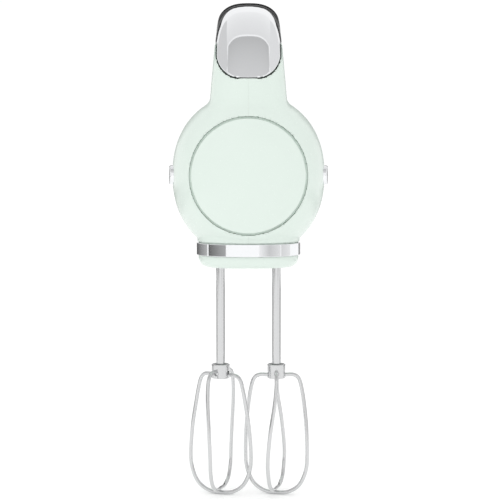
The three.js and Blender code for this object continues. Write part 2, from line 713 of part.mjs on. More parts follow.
function gearboxFrame() {
  let frame = turretLoft(-WALL - 0.8, FRAME.low, FRAME.floor);
  frame = frame.add(block(-FRAME.halfX, FRAME.halfX, FRAME.front, FRAME.front + FRAME.wall,
    FRAME.floor - 1, FRAME.roof));
  frame = frame.add(block(-FRAME.halfX, FRAME.halfX, FRAME.rear - FRAME.wall, FRAME.rear,
    FRAME.floor - 1, FRAME.roof));
  frame = frame.add(block(-24, 24, FRAME.front, FRAME.rear, FRAME.top, FRAME.roof));
  frame = frame.subtract(bar(0, MOTOR_Z, FRAME.front - 1, FRAME.front + 4, SHAFT_MOTOR_RADIUS + GAP, 16));
  frame = frame.subtract(bar(0, MOTOR_Z, FRAME.rear - 4, FRAME.rear + 1, BEARING.radius + GAP, 20));
  for (const x of [-BEATER_X, BEATER_X]) {
    frame = frame.subtract(post(x, DRIVE_Y, 150, 170, 8 + GAP));
    frame = frame.subtract(post(x, DRIVE_Y, FRAME.top - 1, FRAME.roof + 1, SPINDLE_RADIUS + GAP));
  }
  for (const y of BASE_SCREW_Y) {
    frame = frame.subtract(baseScrew(y, GAP));
  }
  return frame;
}
addPiece('gearbox_frame', gearboxFrame(), NYLON);

// Worm gear whose teeth lean to match the worm, with a tooth on the line between the two axes.
function wormGear(x) {
  const toothAngle = 2 * Math.PI / GEAR_TEETH;
  const pitchHalf = TOOTH_SHARE / 2 * toothAngle;
  const flank = Math.tan(THREE.MathUtils.degToRad(20)) / GEAR_PITCH_RADIUS;
  const tip = GEAR_PITCH_RADIUS + ADDENDUM;
  const root = GEAR_PITCH_RADIUS - DEDENDUM;
  const tipHalf = pitchHalf - flank * ADDENDUM;
  const rootHalf = pitchHalf + flank * DEDENDUM;
  const outline = new THREE.Shape();
  for (let i = 0; i < GEAR_TEETH; i += 1) {
    const middle = i * toothAngle;
    for (const [radius, angle] of [[root, -rootHalf], [tip, -tipHalf], [tip, tipHalf], [root, rootHalf]]) {
      const px = radius * Math.cos(middle + angle);
      const py = radius * Math.sin(middle + angle);
      if (i === 0 && angle === -rootHalf) {
        outline.moveTo(px, py);
      } else {
        outline.lineTo(px, py);
      }
    }
  }
  const settings = { depth: GEAR_FACE, steps: 1, bevelEnabled: false };
  const lean = 1 / (WORM_PITCH_RADIUS * GEAR_PITCH_RADIUS);
  const place = (v) => {
    const height = v.z - GEAR_FACE / 2;
    const turn = height * lean;
    const px = v.x * Math.cos(turn) - v.y * Math.sin(turn);
    const py = v.x * Math.sin(turn) + v.y * Math.cos(turn);
    v.set(x + px, DRIVE_Y + py, MOTOR_Z + height);
  };
  const teeth = solid(reshape(new THREE.ExtrudeGeometry(outline, settings), place));
  return teeth.subtract(post(x, DRIVE_Y, 170, 210, SPINDLE_RADIUS + GAP));
}

function spindle(x) {
  return turnedUpright(x, DRIVE_Y, [
    [SPINDLE_BORE, SPINDLE_BOTTOM_Z],
    [SPINDLE_RADIUS, SPINDLE_BOTTOM_Z],
    [SPINDLE_RADIUS, SPINDLE_TOP_Z],
    [SPINDLE_BORE, SPINDLE_TOP_Z],
    [SPINDLE_BORE, SPINDLE_BOTTOM_Z],
  ], 16);
}

function spindleBush(x) {
  return turnedUpright(x, DRIVE_Y, [
    [SPINDLE_RADIUS + GAP, 157],
    [9.4, 157],
    [9.4, FRAME.low - GAP],
    [8, FRAME.low - GAP],
    [8, 167],
    [SPINDLE_RADIUS + GAP, 167],
    [SPINDLE_RADIUS + GAP, 157],
  ], 14);
}

function ejectorPlunger(x) {
  return turnedUpright(x, DRIVE_Y, [
    [0, SHAFT_TOP_Z + 0.4],
    [SHAFT_RADIUS, SHAFT_TOP_Z + 0.4],
    [SHAFT_RADIUS, PLUNGER_TOP_Z - 2],
    [4.2, PLUNGER_TOP_Z - 2],
    [4.2, PLUNGER_TOP_Z],
    [0, PLUNGER_TOP_Z],
  ], 14);
}

// ---------------------------------------------------------------- beaters

// One side of a wire loop, as radius and height, from the collar down to the bottom.
const WIRE_SIDE = [
  { r: 5.9, z: 74.4 },
  { r: 10.4, z: 74.1 },
  { r: 13.6, z: 71.4 },
  { r: 15.4, z: 65 },
  { r: 16.9, z: 55 },
  { r: 18.5, z: 41 },
  { r: 19.3, z: 25 },
  { r: 18.4, z: 15.5 },
  { r: 14.6, z: 7.4 },
  { r: 8, z: 3.2 },
];
const WIRE_BOTTOM_Z = 2.5;
const WIRE_SPREAD = WIRE_BOTTOM_Z - WIRE_RADIUS;   // the lower loop drops by this, the upper one rises
const WIDEST_Z = 24;
const SIDES = [
  { side: 'left', x: -BEATER_X, start: -30, twist: 12 },
  { side: 'right', x: BEATER_X, start: 0, twist: -16 },
];

function wireLoop(x, startAngle, twist, rise) {
  const place = ({ r, z }, flip) => {
    const turned = startAngle + twist * (1 - smooth(WIDEST_Z, WIRE_SIDE[0].z, z));
    const angle = THREE.MathUtils.degToRad(turned) + flip * Math.PI;
    const shift = rise * (1 - (r / 19.5) ** 2);
    return new THREE.Vector3(x + r * Math.cos(angle), DRIVE_Y + r * Math.sin(angle), z + shift);
  };
  const down = WIRE_SIDE.map((spot) => place(spot, 0));
  const up = WIRE_SIDE.map((spot) => place(spot, 1)).reverse();
  const bottom = new THREE.Vector3(x, DRIVE_Y, WIRE_BOTTOM_Z + rise);
  const path = new THREE.CatmullRomCurve3([...down, bottom, ...up], false, 'catmullrom', 0.5);
  const section = new THREE.Shape();
  section.absarc(0, 0, WIRE_RADIUS, 0, 2 * Math.PI);
  const settings = { steps: 32, extrudePath: path, curveSegments: 3, bevelEnabled: false };
  return solid(new THREE.ExtrudeGeometry(section, settings));
}

function beaterShaft(x) {
  return turnedUpright(x, DRIVE_Y, [
    [0, COLLAR.bottom + 0.6],
    [SHAFT_RADIUS, COLLAR.bottom + 0.6],
    [SHAFT_RADIUS, SHAFT_TOP_Z - 1],
    [SHAFT_RADIUS - 1, SHAFT_TOP_Z],
    [0, SHAFT_TOP_Z],
  ], 14);
}

// Cup that grips the shaft at its foot and stands open round it at the top.
function beaterCollar(x) {
  const { bottom, top, radius } = COLLAR;
  return turnedUpright(x, DRIVE_Y, [
    [SHAFT_RADIUS + GAP, bottom],
    [radius - 0.8, bottom],
    [radius, bottom + 0.8],
    [radius, top],
    [radius - 1.1, top],
    [radius - 1.1, top - 2.4],
    [SHAFT_RADIUS + GAP, top - 3],
    [SHAFT_RADIUS + GAP, bottom],
  ], 20);
}

for (const { side, x, start, twist } of SIDES) {
  addPiece(`spindle_${side}`, spindle(x), STEEL);
  addPiece(`spindle_bush_${side}`, spindleBush(x), BRASS);
  addPiece(`worm_gear_${side}`, wormGear(x), NYLON);
  addPiece(`ejector_plunger_${side}`, ejectorPlunger(x), STEEL);
  addPiece(`beater_shaft_${side}`, beaterShaft(x), STEEL);
  addPiece(`beater_collar_${side}`, beaterCollar(x), STEEL);
  addPiece(`beater_loop_lower_${side}`, wireLoop(x, start, twist, -WIRE_SPREAD), STEEL);
  addPiece(`beater_loop_upper_${side}`, wireLoop(x, start - 90, twist, WIRE_SPREAD), STEEL);
}

// Return spring under the yoke: a helix of round wire.
function ejectSpring() {
  const turns = 4;
  const radius = 4.6;
  const low = FRAME.roof + 1;
  const high = YOKE_BAR.low - 1;
  const points = [];
  for (let i = 0; i <= turns * 8; i += 1) {
    const angle = i / 8 * 2 * Math.PI;
    const z = mix(low, high, i / (turns * 8));
    points.push(new THREE.Vector3(radius * Math.cos(angle), DRIVE_Y + radius * Math.sin(angle), z));
  }
  const section = new THREE.Shape();
  section.absarc(0, 0, 0.5, 0, 2 * Math.PI);
  const path = new THREE.CatmullRomCurve3(points);
  const settings = { steps: turns * 8, extrudePath: path, curveSegments: 3, bevelEnabled: false };
  return solid(new THREE.ExtrudeGeometry(section, settings));
}
addPiece('eject_spring', ejectSpring(), STEEL);

// ---------------------------------------------------------------- motor

const WORM_HALF = 12.6;
const CORE = { front: -24, rear: 22, halfX: 22, halfZ: 21.5, bore: 14.8 };
const ARMATURE = { front: -21, rear: 19, radius: 13.9 };
const COMMUTATOR = { front: 27, rear: 34.5, radius: 6.2 };
const FAN = { front: -40, rear: -31, radius: 21.5, blades: 7 };
const RAIL = { inner: 22.6, outer: 25.2, halfZ: 6 };

// Ribbon of thread round the motor shaft: angle zero points up and the thread is right-handed.
function wormThread(startAngle) {
  const turn = 2 * WORM_HALF / LEAD_PER_RADIAN;
  const strip = new THREE.BoxGeometry(1, 1, 1, 1, 1, 28);
  const flank = Math.tan(THREE.MathUtils.degToRad(20));
  const pitchHalf = TOOTH_SHARE / 2 * AXIAL_PITCH;
  const place = (v) => {
    const angle = (v.z + 0.5) * turn;
    const outside = v.x > 0;
    const radius = outside ? WORM_PITCH_RADIUS + ADDENDUM : WORM_PITCH_RADIUS - DEDENDUM - 0.5;
    const half = outside ? pitchHalf - flank * ADDENDUM : pitchHalf + flank * (DEDENDUM + 0.5);
    const y = DRIVE_Y - WORM_HALF + angle * LEAD_PER_RADIAN + Math.sign(v.y) * half;
    const around = angle - WORM_HALF / LEAD_PER_RADIAN + startAngle;
    v.set(radius * Math.sin(around), y, MOTOR_Z + radius * Math.cos(around));
  };
  return solid(reshape(strip, place));
}

function motorShaft() {
  const root = WORM_PITCH_RADIUS - DEDENDUM;
  const worm = bar(0, MOTOR_Z, DRIVE_Y - WORM_HALF - 1.6, DRIVE_Y + WORM_HALF + 1.6, root, 12);
  return bar(0, MOTOR_Z, FRAME.front + 0.5, 43, SHAFT_MOTOR_RADIUS, 12)
    .add(worm)
    .add(wormThread(0))
    .add(wormThread(Math.PI));
}
addPiece('motor_shaft', motorShaft(), STEEL);

function ring(inner, outer, yLow, yHigh, sides = 18) {
  return turnedAlongY([[inner, yLow], [outer, yLow], [outer, yHigh], [inner, yHigh], [inner, yLow]], sides);
}

const SHAFT_CLEAR = SHAFT_MOTOR_RADIUS + GAP;
const SLOT_RADIUS = 10.2;
const SLOTS = 6;

function slotBars(radius, yLow, yHigh) {
  const bars = [];
  for (let i = 0; i < SLOTS; i += 1) {
    const angle = i / SLOTS * 2 * Math.PI;
    bars.push(bar(SLOT_RADIUS * Math.cos(angle), MOTOR_Z + SLOT_RADIUS * Math.sin(angle), yLow, yHigh, radius, 6));
  }
  return bars;
}

function armatureCore() {
  let core = ring(SHAFT_CLEAR, ARMATURE.radius, ARMATURE.front, ARMATURE.rear);
  for (const slot of slotBars(2.3, ARMATURE.front - 1, ARMATURE.rear + 1)) {
    core = core.subtract(slot);
  }
  return core;
}
addPiece('armature_core', armatureCore(), CORE_STEEL);

function armatureWinding() {
  let winding = ring(5.5, 12.6, ARMATURE.front - 4, ARMATURE.front - GAP);
  winding = winding.add(ring(5.5, 12.6, ARMATURE.rear + GAP, ARMATURE.rear + 4));
  for (const turn of slotBars(1.9, ARMATURE.front - 2, ARMATURE.rear + 2)) {
    winding = winding.add(turn);
  }
  return winding;
}
addPiece('armature_winding', armatureWinding(), COPPER);
addPiece('commutator', ring(SHAFT_CLEAR, COMMUTATOR.radius, COMMUTATOR.front, COMMUTATOR.rear), COPPER);

function coolingFan() {
  let fan = ring(SHAFT_CLEAR, 7, FAN.front, FAN.rear);
  fan = fan.add(ring(6, FAN.radius, FAN.front, FAN.front + 1.2, 20));
  for (let i = 0; i < FAN.blades; i += 1) {
    const blade = block(6.5, FAN.radius - 0.5, FAN.front + 0.6, FAN.rear, -0.5, 0.5);
    fan = fan.add(blade.rotate([0, i * 360 / FAN.blades, 0]).translate([0, 0, MOTOR_Z]));
  }
  return fan;
}
addPiece('cooling_fan', coolingFan(), GREY_PLASTIC);

// A coil side passes through the core at this distance from the axis.
const COIL = { inner: 16.2, outer: 19.4, halfZ: 13.6, width: 3.2 };

function fieldCore() {
  const outline = roundedOutline(0, MOTOR_Z, 2 * CORE.halfX, 2 * CORE.halfZ, 7);
  let core = frontPrism(outline, CORE.front, CORE.rear, 4);
  core = core.subtract(bar(0, MOTOR_Z, CORE.front - 1, CORE.rear + 1, CORE.bore, 28));
  for (const side of [-1, 1]) {
    for (const level of [-1, 1]) {
      const slot = block(COIL.inner - GAP, COIL.outer + GAP, CORE.front - 1, CORE.rear + 1,
        COIL.halfZ - COIL.width - GAP, COIL.halfZ + GAP);
      core = core.subtract(slot.scale([side, 1, level]).translate([0, 0, MOTOR_Z]));
    }
  }
  return core;
}
addPiece('motor_field_core', fieldCore(), CORE_STEEL);

function fieldCoil(side) {
  const outer = block(COIL.inner, COIL.outer, CORE.front - GAP - COIL.width, CORE.rear + GAP + COIL.width,
    -COIL.halfZ, COIL.halfZ);
  const inner = block(0, 30, CORE.front - GAP, CORE.rear + GAP,
    -COIL.halfZ + COIL.width, COIL.halfZ - COIL.width);
  return outer.subtract(inner).scale([side, 1, 1]).translate([0, 0, MOTOR_Z]);
}
addPiece('field_coil_left', fieldCoil(-1), COPPER);
addPiece('field_coil_right', fieldCoil(1), COPPER);

function bearing(yLow) {
  return ring(SHAFT_CLEAR, BEARING.radius, yLow, yLow + BEARING.length);
}
addPiece('front_bearing', bearing(BEARING.frontY), STEEL);
addPiece('rear_bearing', bearing(BEARING.rearY), STEEL);

function brushHolder(side) {
  const low = Math.min(side * (COMMUTATOR.radius + 0.4), side * 16);
  const high = Math.max(side * (COMMUTATOR.radius + 0.4), side * 16);
  return block(low, high, COMMUTATOR.front + 0.8, COMMUTATOR.rear - 0.8, MOTOR_Z - 2.6, MOTOR_Z + 2.6);
}
addPiece('brush_holder_left', brushHolder(-1), BRASS);
addPiece('brush_holder_right', brushHolder(1), BRASS);

function rails(yLow, yHigh) {
  const right = block(RAIL.inner, RAIL.outer, yLow, yHigh, MOTOR_Z - RAIL.halfZ, MOTOR_Z + RAIL.halfZ);
  return right.add(mirrored(right));
}

function frontBracket() {
  const plate = block(-RAIL.outer, RAIL.outer, FRAME.rear + GAP, FRAME.rear + 2, MOTOR_Z - 11, MOTOR_Z + 11);
  return plate.subtract(bar(0, MOTOR_Z, -50, -40, 10, 20)).add(rails(FRAME.rear + GAP, CORE.front + 8));
}

function rearBracket() {
  const low = BEARING.rearY + 1.6;
  const plate = block(-RAIL.outer, RAIL.outer, low, low + 2.4, MOTOR_Z - 11, MOTOR_Z + 11);
  return plate.subtract(bar(0, MOTOR_Z, 30, 50, BEARING.radius + GAP, 20)).add(rails(CORE.rear - 8, low + 2));
}
addPiece('motor_bracket_front', frontBracket(), GREY_PLASTIC);
addPiece('motor_bracket_rear', rearBracket(), GREY_PLASTIC);

export default mixer;
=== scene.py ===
"""Looks of the hand mixer. Shapes are worked out in millimetres in the CAD frame and built in metres.

Smooth shells are meshed from distance fields: a field gives the rough distance in mm to a surface
and is negative inside. Round pieces are turned from profiles, and wires are swept along paths.
"""

import json
import math

import bmesh
import bpy
import numpy as np
import openvdb
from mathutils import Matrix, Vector

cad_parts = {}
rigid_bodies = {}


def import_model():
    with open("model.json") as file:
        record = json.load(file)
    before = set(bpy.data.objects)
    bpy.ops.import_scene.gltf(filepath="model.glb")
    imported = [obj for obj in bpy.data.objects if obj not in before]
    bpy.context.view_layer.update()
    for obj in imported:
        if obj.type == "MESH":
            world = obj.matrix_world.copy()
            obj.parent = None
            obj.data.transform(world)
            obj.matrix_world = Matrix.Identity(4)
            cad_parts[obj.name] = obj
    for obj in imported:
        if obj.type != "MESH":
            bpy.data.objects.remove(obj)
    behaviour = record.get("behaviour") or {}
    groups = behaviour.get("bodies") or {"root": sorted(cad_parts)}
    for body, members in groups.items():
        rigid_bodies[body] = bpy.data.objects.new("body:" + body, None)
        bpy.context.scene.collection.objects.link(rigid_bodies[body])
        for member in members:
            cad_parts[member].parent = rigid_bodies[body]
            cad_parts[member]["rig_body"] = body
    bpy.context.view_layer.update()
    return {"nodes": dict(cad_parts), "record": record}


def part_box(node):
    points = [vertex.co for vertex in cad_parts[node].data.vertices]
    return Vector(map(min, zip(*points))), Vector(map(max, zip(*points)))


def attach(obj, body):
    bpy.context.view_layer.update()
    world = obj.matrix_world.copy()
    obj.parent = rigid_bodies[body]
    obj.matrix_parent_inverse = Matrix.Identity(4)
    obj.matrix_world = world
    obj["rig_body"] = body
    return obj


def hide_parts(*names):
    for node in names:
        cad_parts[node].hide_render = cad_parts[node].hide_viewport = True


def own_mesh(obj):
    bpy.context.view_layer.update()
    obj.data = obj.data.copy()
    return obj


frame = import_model()

MM = 0.001

# ---------------------------------------------------------------- driving dimensions, from the frame


def box_mm(node):
    low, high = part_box(node)
    return np.array(low) / MM, np.array(high) / MM


HALF_LENGTH = box_mm("heel_pad")[1][1]
DRIVE_Y = float(np.mean([box_mm("trim_band")[0][1], box_mm("trim_band")[1][1]]))
BEATER_X = float(np.mean([box_mm("beater_collar_right")[0][0], box_mm("beater_collar_right")[1][0]]))
BARREL_Z = float(np.mean([box_mm("front_cap")[0][2], box_mm("front_cap")[1][2]]))
BAND_LOW, BAND_HIGH = box_mm("trim_band")[0][2], box_mm("trim_band")[1][2]
BASE_LOW = 139.0
CAP_RADIUS = box_mm("front_cap")[1][0]
COLLAR_LOW, COLLAR_HIGH = box_mm("beater_collar_right")[0][2], box_mm("beater_collar_right")[1][2]
SHAFT_TOP = box_mm("beater_shaft_right")[1][2]

WALL = 2.4
GAP = 0.3
BARREL_HALF_WIDTH = 45.4
BARREL_HALF_HEIGHT = 48.3
CAP_Y = -97.0
RIM_RADIUS = CAP_RADIUS + 0.6
HEEL_COVER_Y = 98.7
HEEL_FACE_Y = 103.6
SCREW_HEAD = 3.2
SCREW_SHANK = 1.8
TURRET_HALF_X = 30.6
TURRET_HALF_Y = 27.4
TURRET_POWER = 2.5
TURRET_TOP = 176.0
BAND_PROUD = 0.5
BAND_TOP = BAND_HIGH - 0.4
BAND_THICKNESS = 1.3

# ---------------------------------------------------------------- field helpers


def mix(a, b, share):
    return a + (b - a) * share


def smooth(start, end, value):
    share = np.clip((value - start) / (end - start), 0.0, 1.0)
    return share * share * (3.0 - 2.0 * share)


def join(a, b, k):
    """Union of two fields with a fillet of about k mm."""
    h = np.maximum(k - np.abs(a - b), 0.0)
    return np.minimum(a, b) - h * h / (4.0 * k)


def cut(a, b, k=0.5):
    """Field a outside field b, with edges rounded by about k mm."""
    return -join(-a, b, k)


def meet(a, b, k=0.5):
    """What is inside both fields, with edges rounded by about k mm."""
    return -join(-a, -b, k)


def section_distance(u, v, half_u, half_v, power):
    """Distance along the ray from the centre to a superellipse's outline."""
    reach = np.hypot(u, v) + 1e-6
    ratio = (np.abs(u / half_u) ** power + np.abs(v / half_v) ** power) ** (1.0 / power) + 1e-6
    return reach * (1.0 - 1.0 / ratio)


def rounded_rect(u, v, half_u, half_v, corner):
    qu = np.abs(u) - half_u + corner
    qv = np.abs(v) - half_v + corner
    outside = np.hypot(np.maximum(qu, 0.0), np.maximum(qv, 0.0))
    return outside + np.minimum(np.maximum(qu, qv), 0.0) - corner


# ---------------------------------------------------------------- the skin of the body

TAIL_START_Y = 68.0
TAIL_LENGTH = 52.0


def front_radius(widest, rim, lead):
    return np.sqrt(np.maximum(widest**2 - (widest**2 - rim**2) * lead**2, 1.0))


def body_field(x, y, z):
    lead = np.clip((DRIVE_Y - y) / (DRIVE_Y - CAP_Y), 0.0, 1.2)
    tail = np.clip((y - TAIL_START_Y) / TAIL_LENGTH, 0.0, 0.98)
    close = np.sqrt(1.0 - tail**2)
    middle = mix(BARREL_HALF_HEIGHT, 36.5, smooth(DRIVE_Y, -28.0, y))
    width = close * mix(BARREL_HALF_WIDTH, 34.0, smooth(DRIVE_Y, 60.0, y))
    top = close * mix(BARREL_HALF_HEIGHT, 30.0, smooth(DRIVE_Y, -6.0, y))
    bottom = close * mix(middle, 27.0, smooth(-24.0, 90.0, y))
    ahead = y < DRIVE_Y
    front_half = front_radius(BARREL_HALF_HEIGHT, RIM_RADIUS, lead)
    width = np.where(ahead, front_radius(BARREL_HALF_WIDTH, RIM_RADIUS, lead), width)
    top = np.where(ahead, front_half, top)
    bottom = np.where(ahead, front_half, bottom)
    rise = z - BARREL_Z
    half = np.where(rise > 0.0, top, bottom)
    power = 2.0 + 0.2 * smooth(CAP_Y, DRIVE_Y, y) + 0.1 * smooth(DRIVE_Y, 0.0, y)
    return section_distance(x, rise, width, half, power)


HANDLE_POINTS = np.array([
    # y, z, half-width, half-thickness
    (-76, 205, 25, 20),
    (-70, 240, 22.6, 18.5),
    (-56, 268, 20.4, 17.2),
    (-34, 280.4, 19.3, 16.8),
    (2, 282, 18.8, 16),
    (46, 276.8, 18.6, 15.6),
    (79, 257, 21, 16),
    (90, 224, 25, 17),
    (90, 190, 27, 17),
], float)
HANDLE_POWER = 2.6


def spline_spans(points):
    """Cubic coefficients of a uniform Catmull-Rom curve, one row for each span."""
    first = 2.0 * points[0] - points[1]
    last = 2.0 * points[-1] - points[-2]
    padded = np.vstack([first, points, last])
    p0, p1, p2, p3 = padded[:-3], padded[1:-2], padded[2:-1], padded[3:]
    m1 = 0.5 * (p2 - p0)
    m2 = 0.5 * (p3 - p1)
    return np.stack([2.0 * p1 - 2.0 * p2 + m1 + m2, -3.0 * p1 + 3.0 * p2 - 2.0 * m1 - m2, m1, p1], axis=1)


def spline_at(spans, place):
    """Points of the curve, with first and second derivatives, at places counted in spans."""
    span = np.clip(np.floor(place).astype(int), 0, len(spans) - 1)
    t = (place - span)[..., None]
    a, b, c, d = (spans[span, i] for i in range(4))
    return ((a * t + b) * t + c) * t + d, (3.0 * a * t + 2.0 * b) * t + c, 6.0 * a * t + 2.0 * b


def spline(points, per_span):
    spans = spline_spans(np.asarray(points, float))
    return spline_at(spans, np.linspace(0.0, len(spans), per_span * len(spans) + 1))[0]


HANDLE_SPANS = spline_spans(HANDLE_POINTS)
TABLE_STEP = 1.0
TABLE_Y = np.arange(-125.0, 126.0, TABLE_STEP)
TABLE_Z = np.arange(125.0, 326.0, TABLE_STEP)


def handle_table():
    """Nearest place on the handle's centre line, for places in the YZ plane."""
    steps = np.linspace(0.0, len(HANDLE_SPANS), 321)
    line = spline_at(HANDLE_SPANS, steps)[0][:, :2]
    yy, zz = np.meshgrid(TABLE_Y, TABLE_Z, indexing="ij")
    away = (yy[..., None] - line[:, 0]) ** 2 + (zz[..., None] - line[:, 1]) ** 2
    return steps[away.argmin(axis=-1)]


HANDLE_TABLE = handle_table()
NEWTON_ROUNDS = 3


def nearest_on_handle(y, z):
    """Offset from the centre line, half-width, half-thickness, and how far past an end the point is."""
    iy = np.clip(np.round((y - TABLE_Y[0]) / TABLE_STEP).astype(int), 0, len(TABLE_Y) - 1)
    iz = np.clip(np.round((z - TABLE_Z[0]) / TABLE_STEP).astype(int), 0, len(TABLE_Z) - 1)
    place = HANDLE_TABLE[iy, iz]
    for _ in range(NEWTON_ROUNDS):
        at, slope, bend = spline_at(HANDLE_SPANS, place)
        dy = at[..., 0] - y
        dz = at[..., 1] - z
        error = dy * slope[..., 0] + dz * slope[..., 1]
        rate = slope[..., 0] ** 2 + slope[..., 1] ** 2 + dy * bend[..., 0] + dz * bend[..., 1]
        place = place - np.clip(error / np.maximum(rate, 20.0), -0.05, 0.05)
        place = np.clip(place, 0.0, len(HANDLE_SPANS))
    at, slope, _ = spline_at(HANDLE_SPANS, place)
    length = np.hypot(slope[..., 0], slope[..., 1])
    ahead_y, ahead_z = slope[..., 0] / length, slope[..., 1] / length
    away_y, away_z = y - at[..., 0], z - at[..., 1]
    offset = ahead_y * away_z - ahead_z * away_y
    past = np.abs(ahead_y * away_y + ahead_z * away_z)
    return offset, at[..., 2], at[..., 3], past


def handle_field(x, y, z):
    offset, half_width, half, past = nearest_on_handle(y, z)
    side = section_distance(x, offset, half_width, half, HANDLE_POWER)
    return np.maximum(side, past - 2.0)


def turret_field(x, y, z):
    plan = section_distance(x, y - DRIVE_Y, TURRET_HALF_X, TURRET_HALF_Y, TURRET_POWER)
    return np.maximum(plan, np.maximum(z - TURRET_TOP, BAND_LOW - 5.0 - z))


NECK_FILLET = 3.2
TURRET_FILLET = 0.4
HEEL_ROUNDING = 5.0


def skin_field(x, y, z):
    body = join(body_field(x, y, z), handle_field(x, y, z), NECK_FILLET)
    body = join(body, turret_field(x, y, z), TURRET_FILLET)
    return meet(body, y - HEEL_FACE_Y, HEEL_ROUNDING)


def shell_field(skin, wall):
    return np.maximum(skin, -(skin + wall))


# ---------------------------------------------------------------- regions of the covers

NOSE_HALF_WIDTH = 18.8
NOSE_BOTTOM = 250.4
NOSE_CROWN = 0.006
NOSE_CORNER = 12.5
NOSE_GAP = 0.28
SHOULDER_LOW, SHOULDER_HIGH, SHOULDER_WIDE = 271.0, 280.0, 30.0
BOUNDARY_LOW = (-50.0, 279.0)
BOUNDARY_HIGH = (-41.0, 300.0)
PANEL_REAR = (36.0, 289.2)


def line_side(y, z, start, end):
    """Distance from the line through two (y, z) points, positive on its right going from start to end."""
    dy, dz = end[0] - start[0], end[1] - start[1]
    length = math.hypot(dy, dz)
    return ((y - start[0]) * dz - (z - start[1]) * dy) / length


def nose_region(x, y, z):
    wide = NOSE_HALF_WIDTH + (SHOULDER_WIDE - NOSE_HALF_WIDTH) * smooth(SHOULDER_LOW, SHOULDER_HIGH, z)
    qx = np.abs(x) - wide + NOSE_CORNER
    qz = NOSE_BOTTOM + NOSE_CROWN * x * x + NOSE_CORNER - z
    outline = np.hypot(np.maximum(qx, 0.0), np.maximum(qz, 0.0))
    outline = outline + np.minimum(np.maximum(qx, qz), 0.0) - NOSE_CORNER
    behind = line_side(y, z, BOUNDARY_LOW, BOUNDARY_HIGH)
    low_behind = line_side(y, z, (-66.0, 250.0), BOUNDARY_LOW)
    return np.maximum(outline, np.maximum(behind, np.where(z < BOUNDARY_LOW[1], low_behind, behind)))


PIN_Y = -48.0
PIN_Z = 286.0
NOSE_WALL = 1.8
NOSE_TURN = math.radians(4.5)


def about_pin(y, z, angle):
    """Places turned about the nose's pin."""
    c, s = math.cos(angle), math.sin(angle)
    return PIN_Y + c * (y - PIN_Y) - s * (z - PIN_Z), PIN_Z + s * (y - PIN_Y) + c * (z - PIN_Z)


def nose_room(x, y, z):
    """The room the nose plate needs as it is pressed in."""
    room = np.full_like(x, 9.0)
    near = (np.abs(x) < 26.0) & (y < -38.0) & (z > 240.0)
    for share in (0.2, 0.4, 0.6, 0.8, 1.0):
        y_back, z_back = about_pin(y[near], z[near], -share * NOSE_TURN)
        skin = skin_field(x[near], y_back, z_back)
        plate = np.maximum(nose_region(x[near], y_back, z_back), np.maximum(skin, -skin - NOSE_WALL))
        room[near] = np.minimum(room[near], plate - GAP)
    return room


def panel_region(y, z):
    ahead = -line_side(y, z, BOUNDARY_LOW, BOUNDARY_HIGH) + GAP
    below = line_side(y, z, BOUNDARY_LOW, PANEL_REAR)
    rear = line_side(y, z, (PANEL_REAR[0] + 6.0, PANEL_REAR[1] + 6.0), PANEL_REAR)
    return meet(np.maximum(ahead, below), -rear, 3.0)


# ---------------------------------------------------------------- making meshes


def new_object(name, mesh, material, body, replaced):
    piece = bpy.data.objects.new(name, mesh)
    bpy.context.scene.collection.objects.link(piece)
    mesh.materials.append(material)
    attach(piece, body)
    if replaced:
        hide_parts(*replaced)
    return piece


def shade(mesh, sharp_degrees=40.0):
    mesh.polygons.foreach_set("use_smooth", [True] * len(mesh.polygons))
    mesh.set_sharp_from_angle(angle=math.radians(sharp_degrees))


def gradient(field, points, step=0.04):
    slopes = []
    for axis in range(3):
        shift = np.zeros(3)
        shift[axis] = step
        after = field(*(points + shift).T)
        before = field(*(points - shift).T)
        slopes.append((after - before) / (2.0 * step))
    return np.stack(slopes, axis=1)


def on_surface(field, points, rounds=4, most=0.5):
    """Moves points on to the surface of the field, by Newton steps."""
    for _ in range(rounds):
        value = field(*points.T)
        slope = gradient(field, points)
        square = np.maximum((slope**2).sum(axis=1), 0.05)
        move = -(value / square)[:, None] * slope
        length = np.linalg.norm(move, axis=1)[:, None]
        points = points + move * np.minimum(1.0, most / np.maximum(length, 1e-9))
    return points


def mesh_of_field(field, low, high, step, rounds=4):
    """Vertices in mm and quads of the surface where the field is zero."""
    axes = [np.arange(low[i], high[i] + step, step) for i in range(3)]
    slabs = []
    for x in axes[0]:
        yy, zz = np.meshgrid(axes[1], axes[2], indexing="ij")
        slabs.append(field(np.full_like(yy, x), yy, zz).astype(np.float32))
    values = np.clip(np.stack(slabs), -3.0 * step, 3.0 * step)
    grid = openvdb.FloatGrid(3.0 * step)
    grid.copyFromArray(values)
    points, quads = grid.convertToQuads()
    points = points.astype(float) * step + np.array([a[0] for a in axes])
    points = on_surface(field, points, rounds, 0.5 * step)
    quads = quads.astype(int)
    if enclosed(points, quads) < 0.0:
        quads = quads[:, ::-1]
    return points, quads


def enclosed(points, quads):
    a, b, c, d = (points[quads[:, i]] for i in range(4))
    return float((np.cross(a, b) * c).sum() + (np.cross(a, c) * d).sum()) / 6.0


def mesh_from(name, points, faces):
    mesh = bpy.data.meshes.new(name)
    mesh.from_pydata((np.asarray(points) * MM).tolist(), [], [tuple(f) for f in np.asarray(faces).tolist()])
    mesh.update()
    return mesh


def field_piece(name, field, low, high, step, material, body, replaced, sharp=50.0):
    """A piece meshed from its field inside the box from low to high, on a grid of the given step."""
    points, quads = mesh_of_field(field, low, high, step)
    mesh = mesh_from(name, points, quads)
    shade(mesh, sharp)
    return new_object(name, mesh, material, body, replaced)


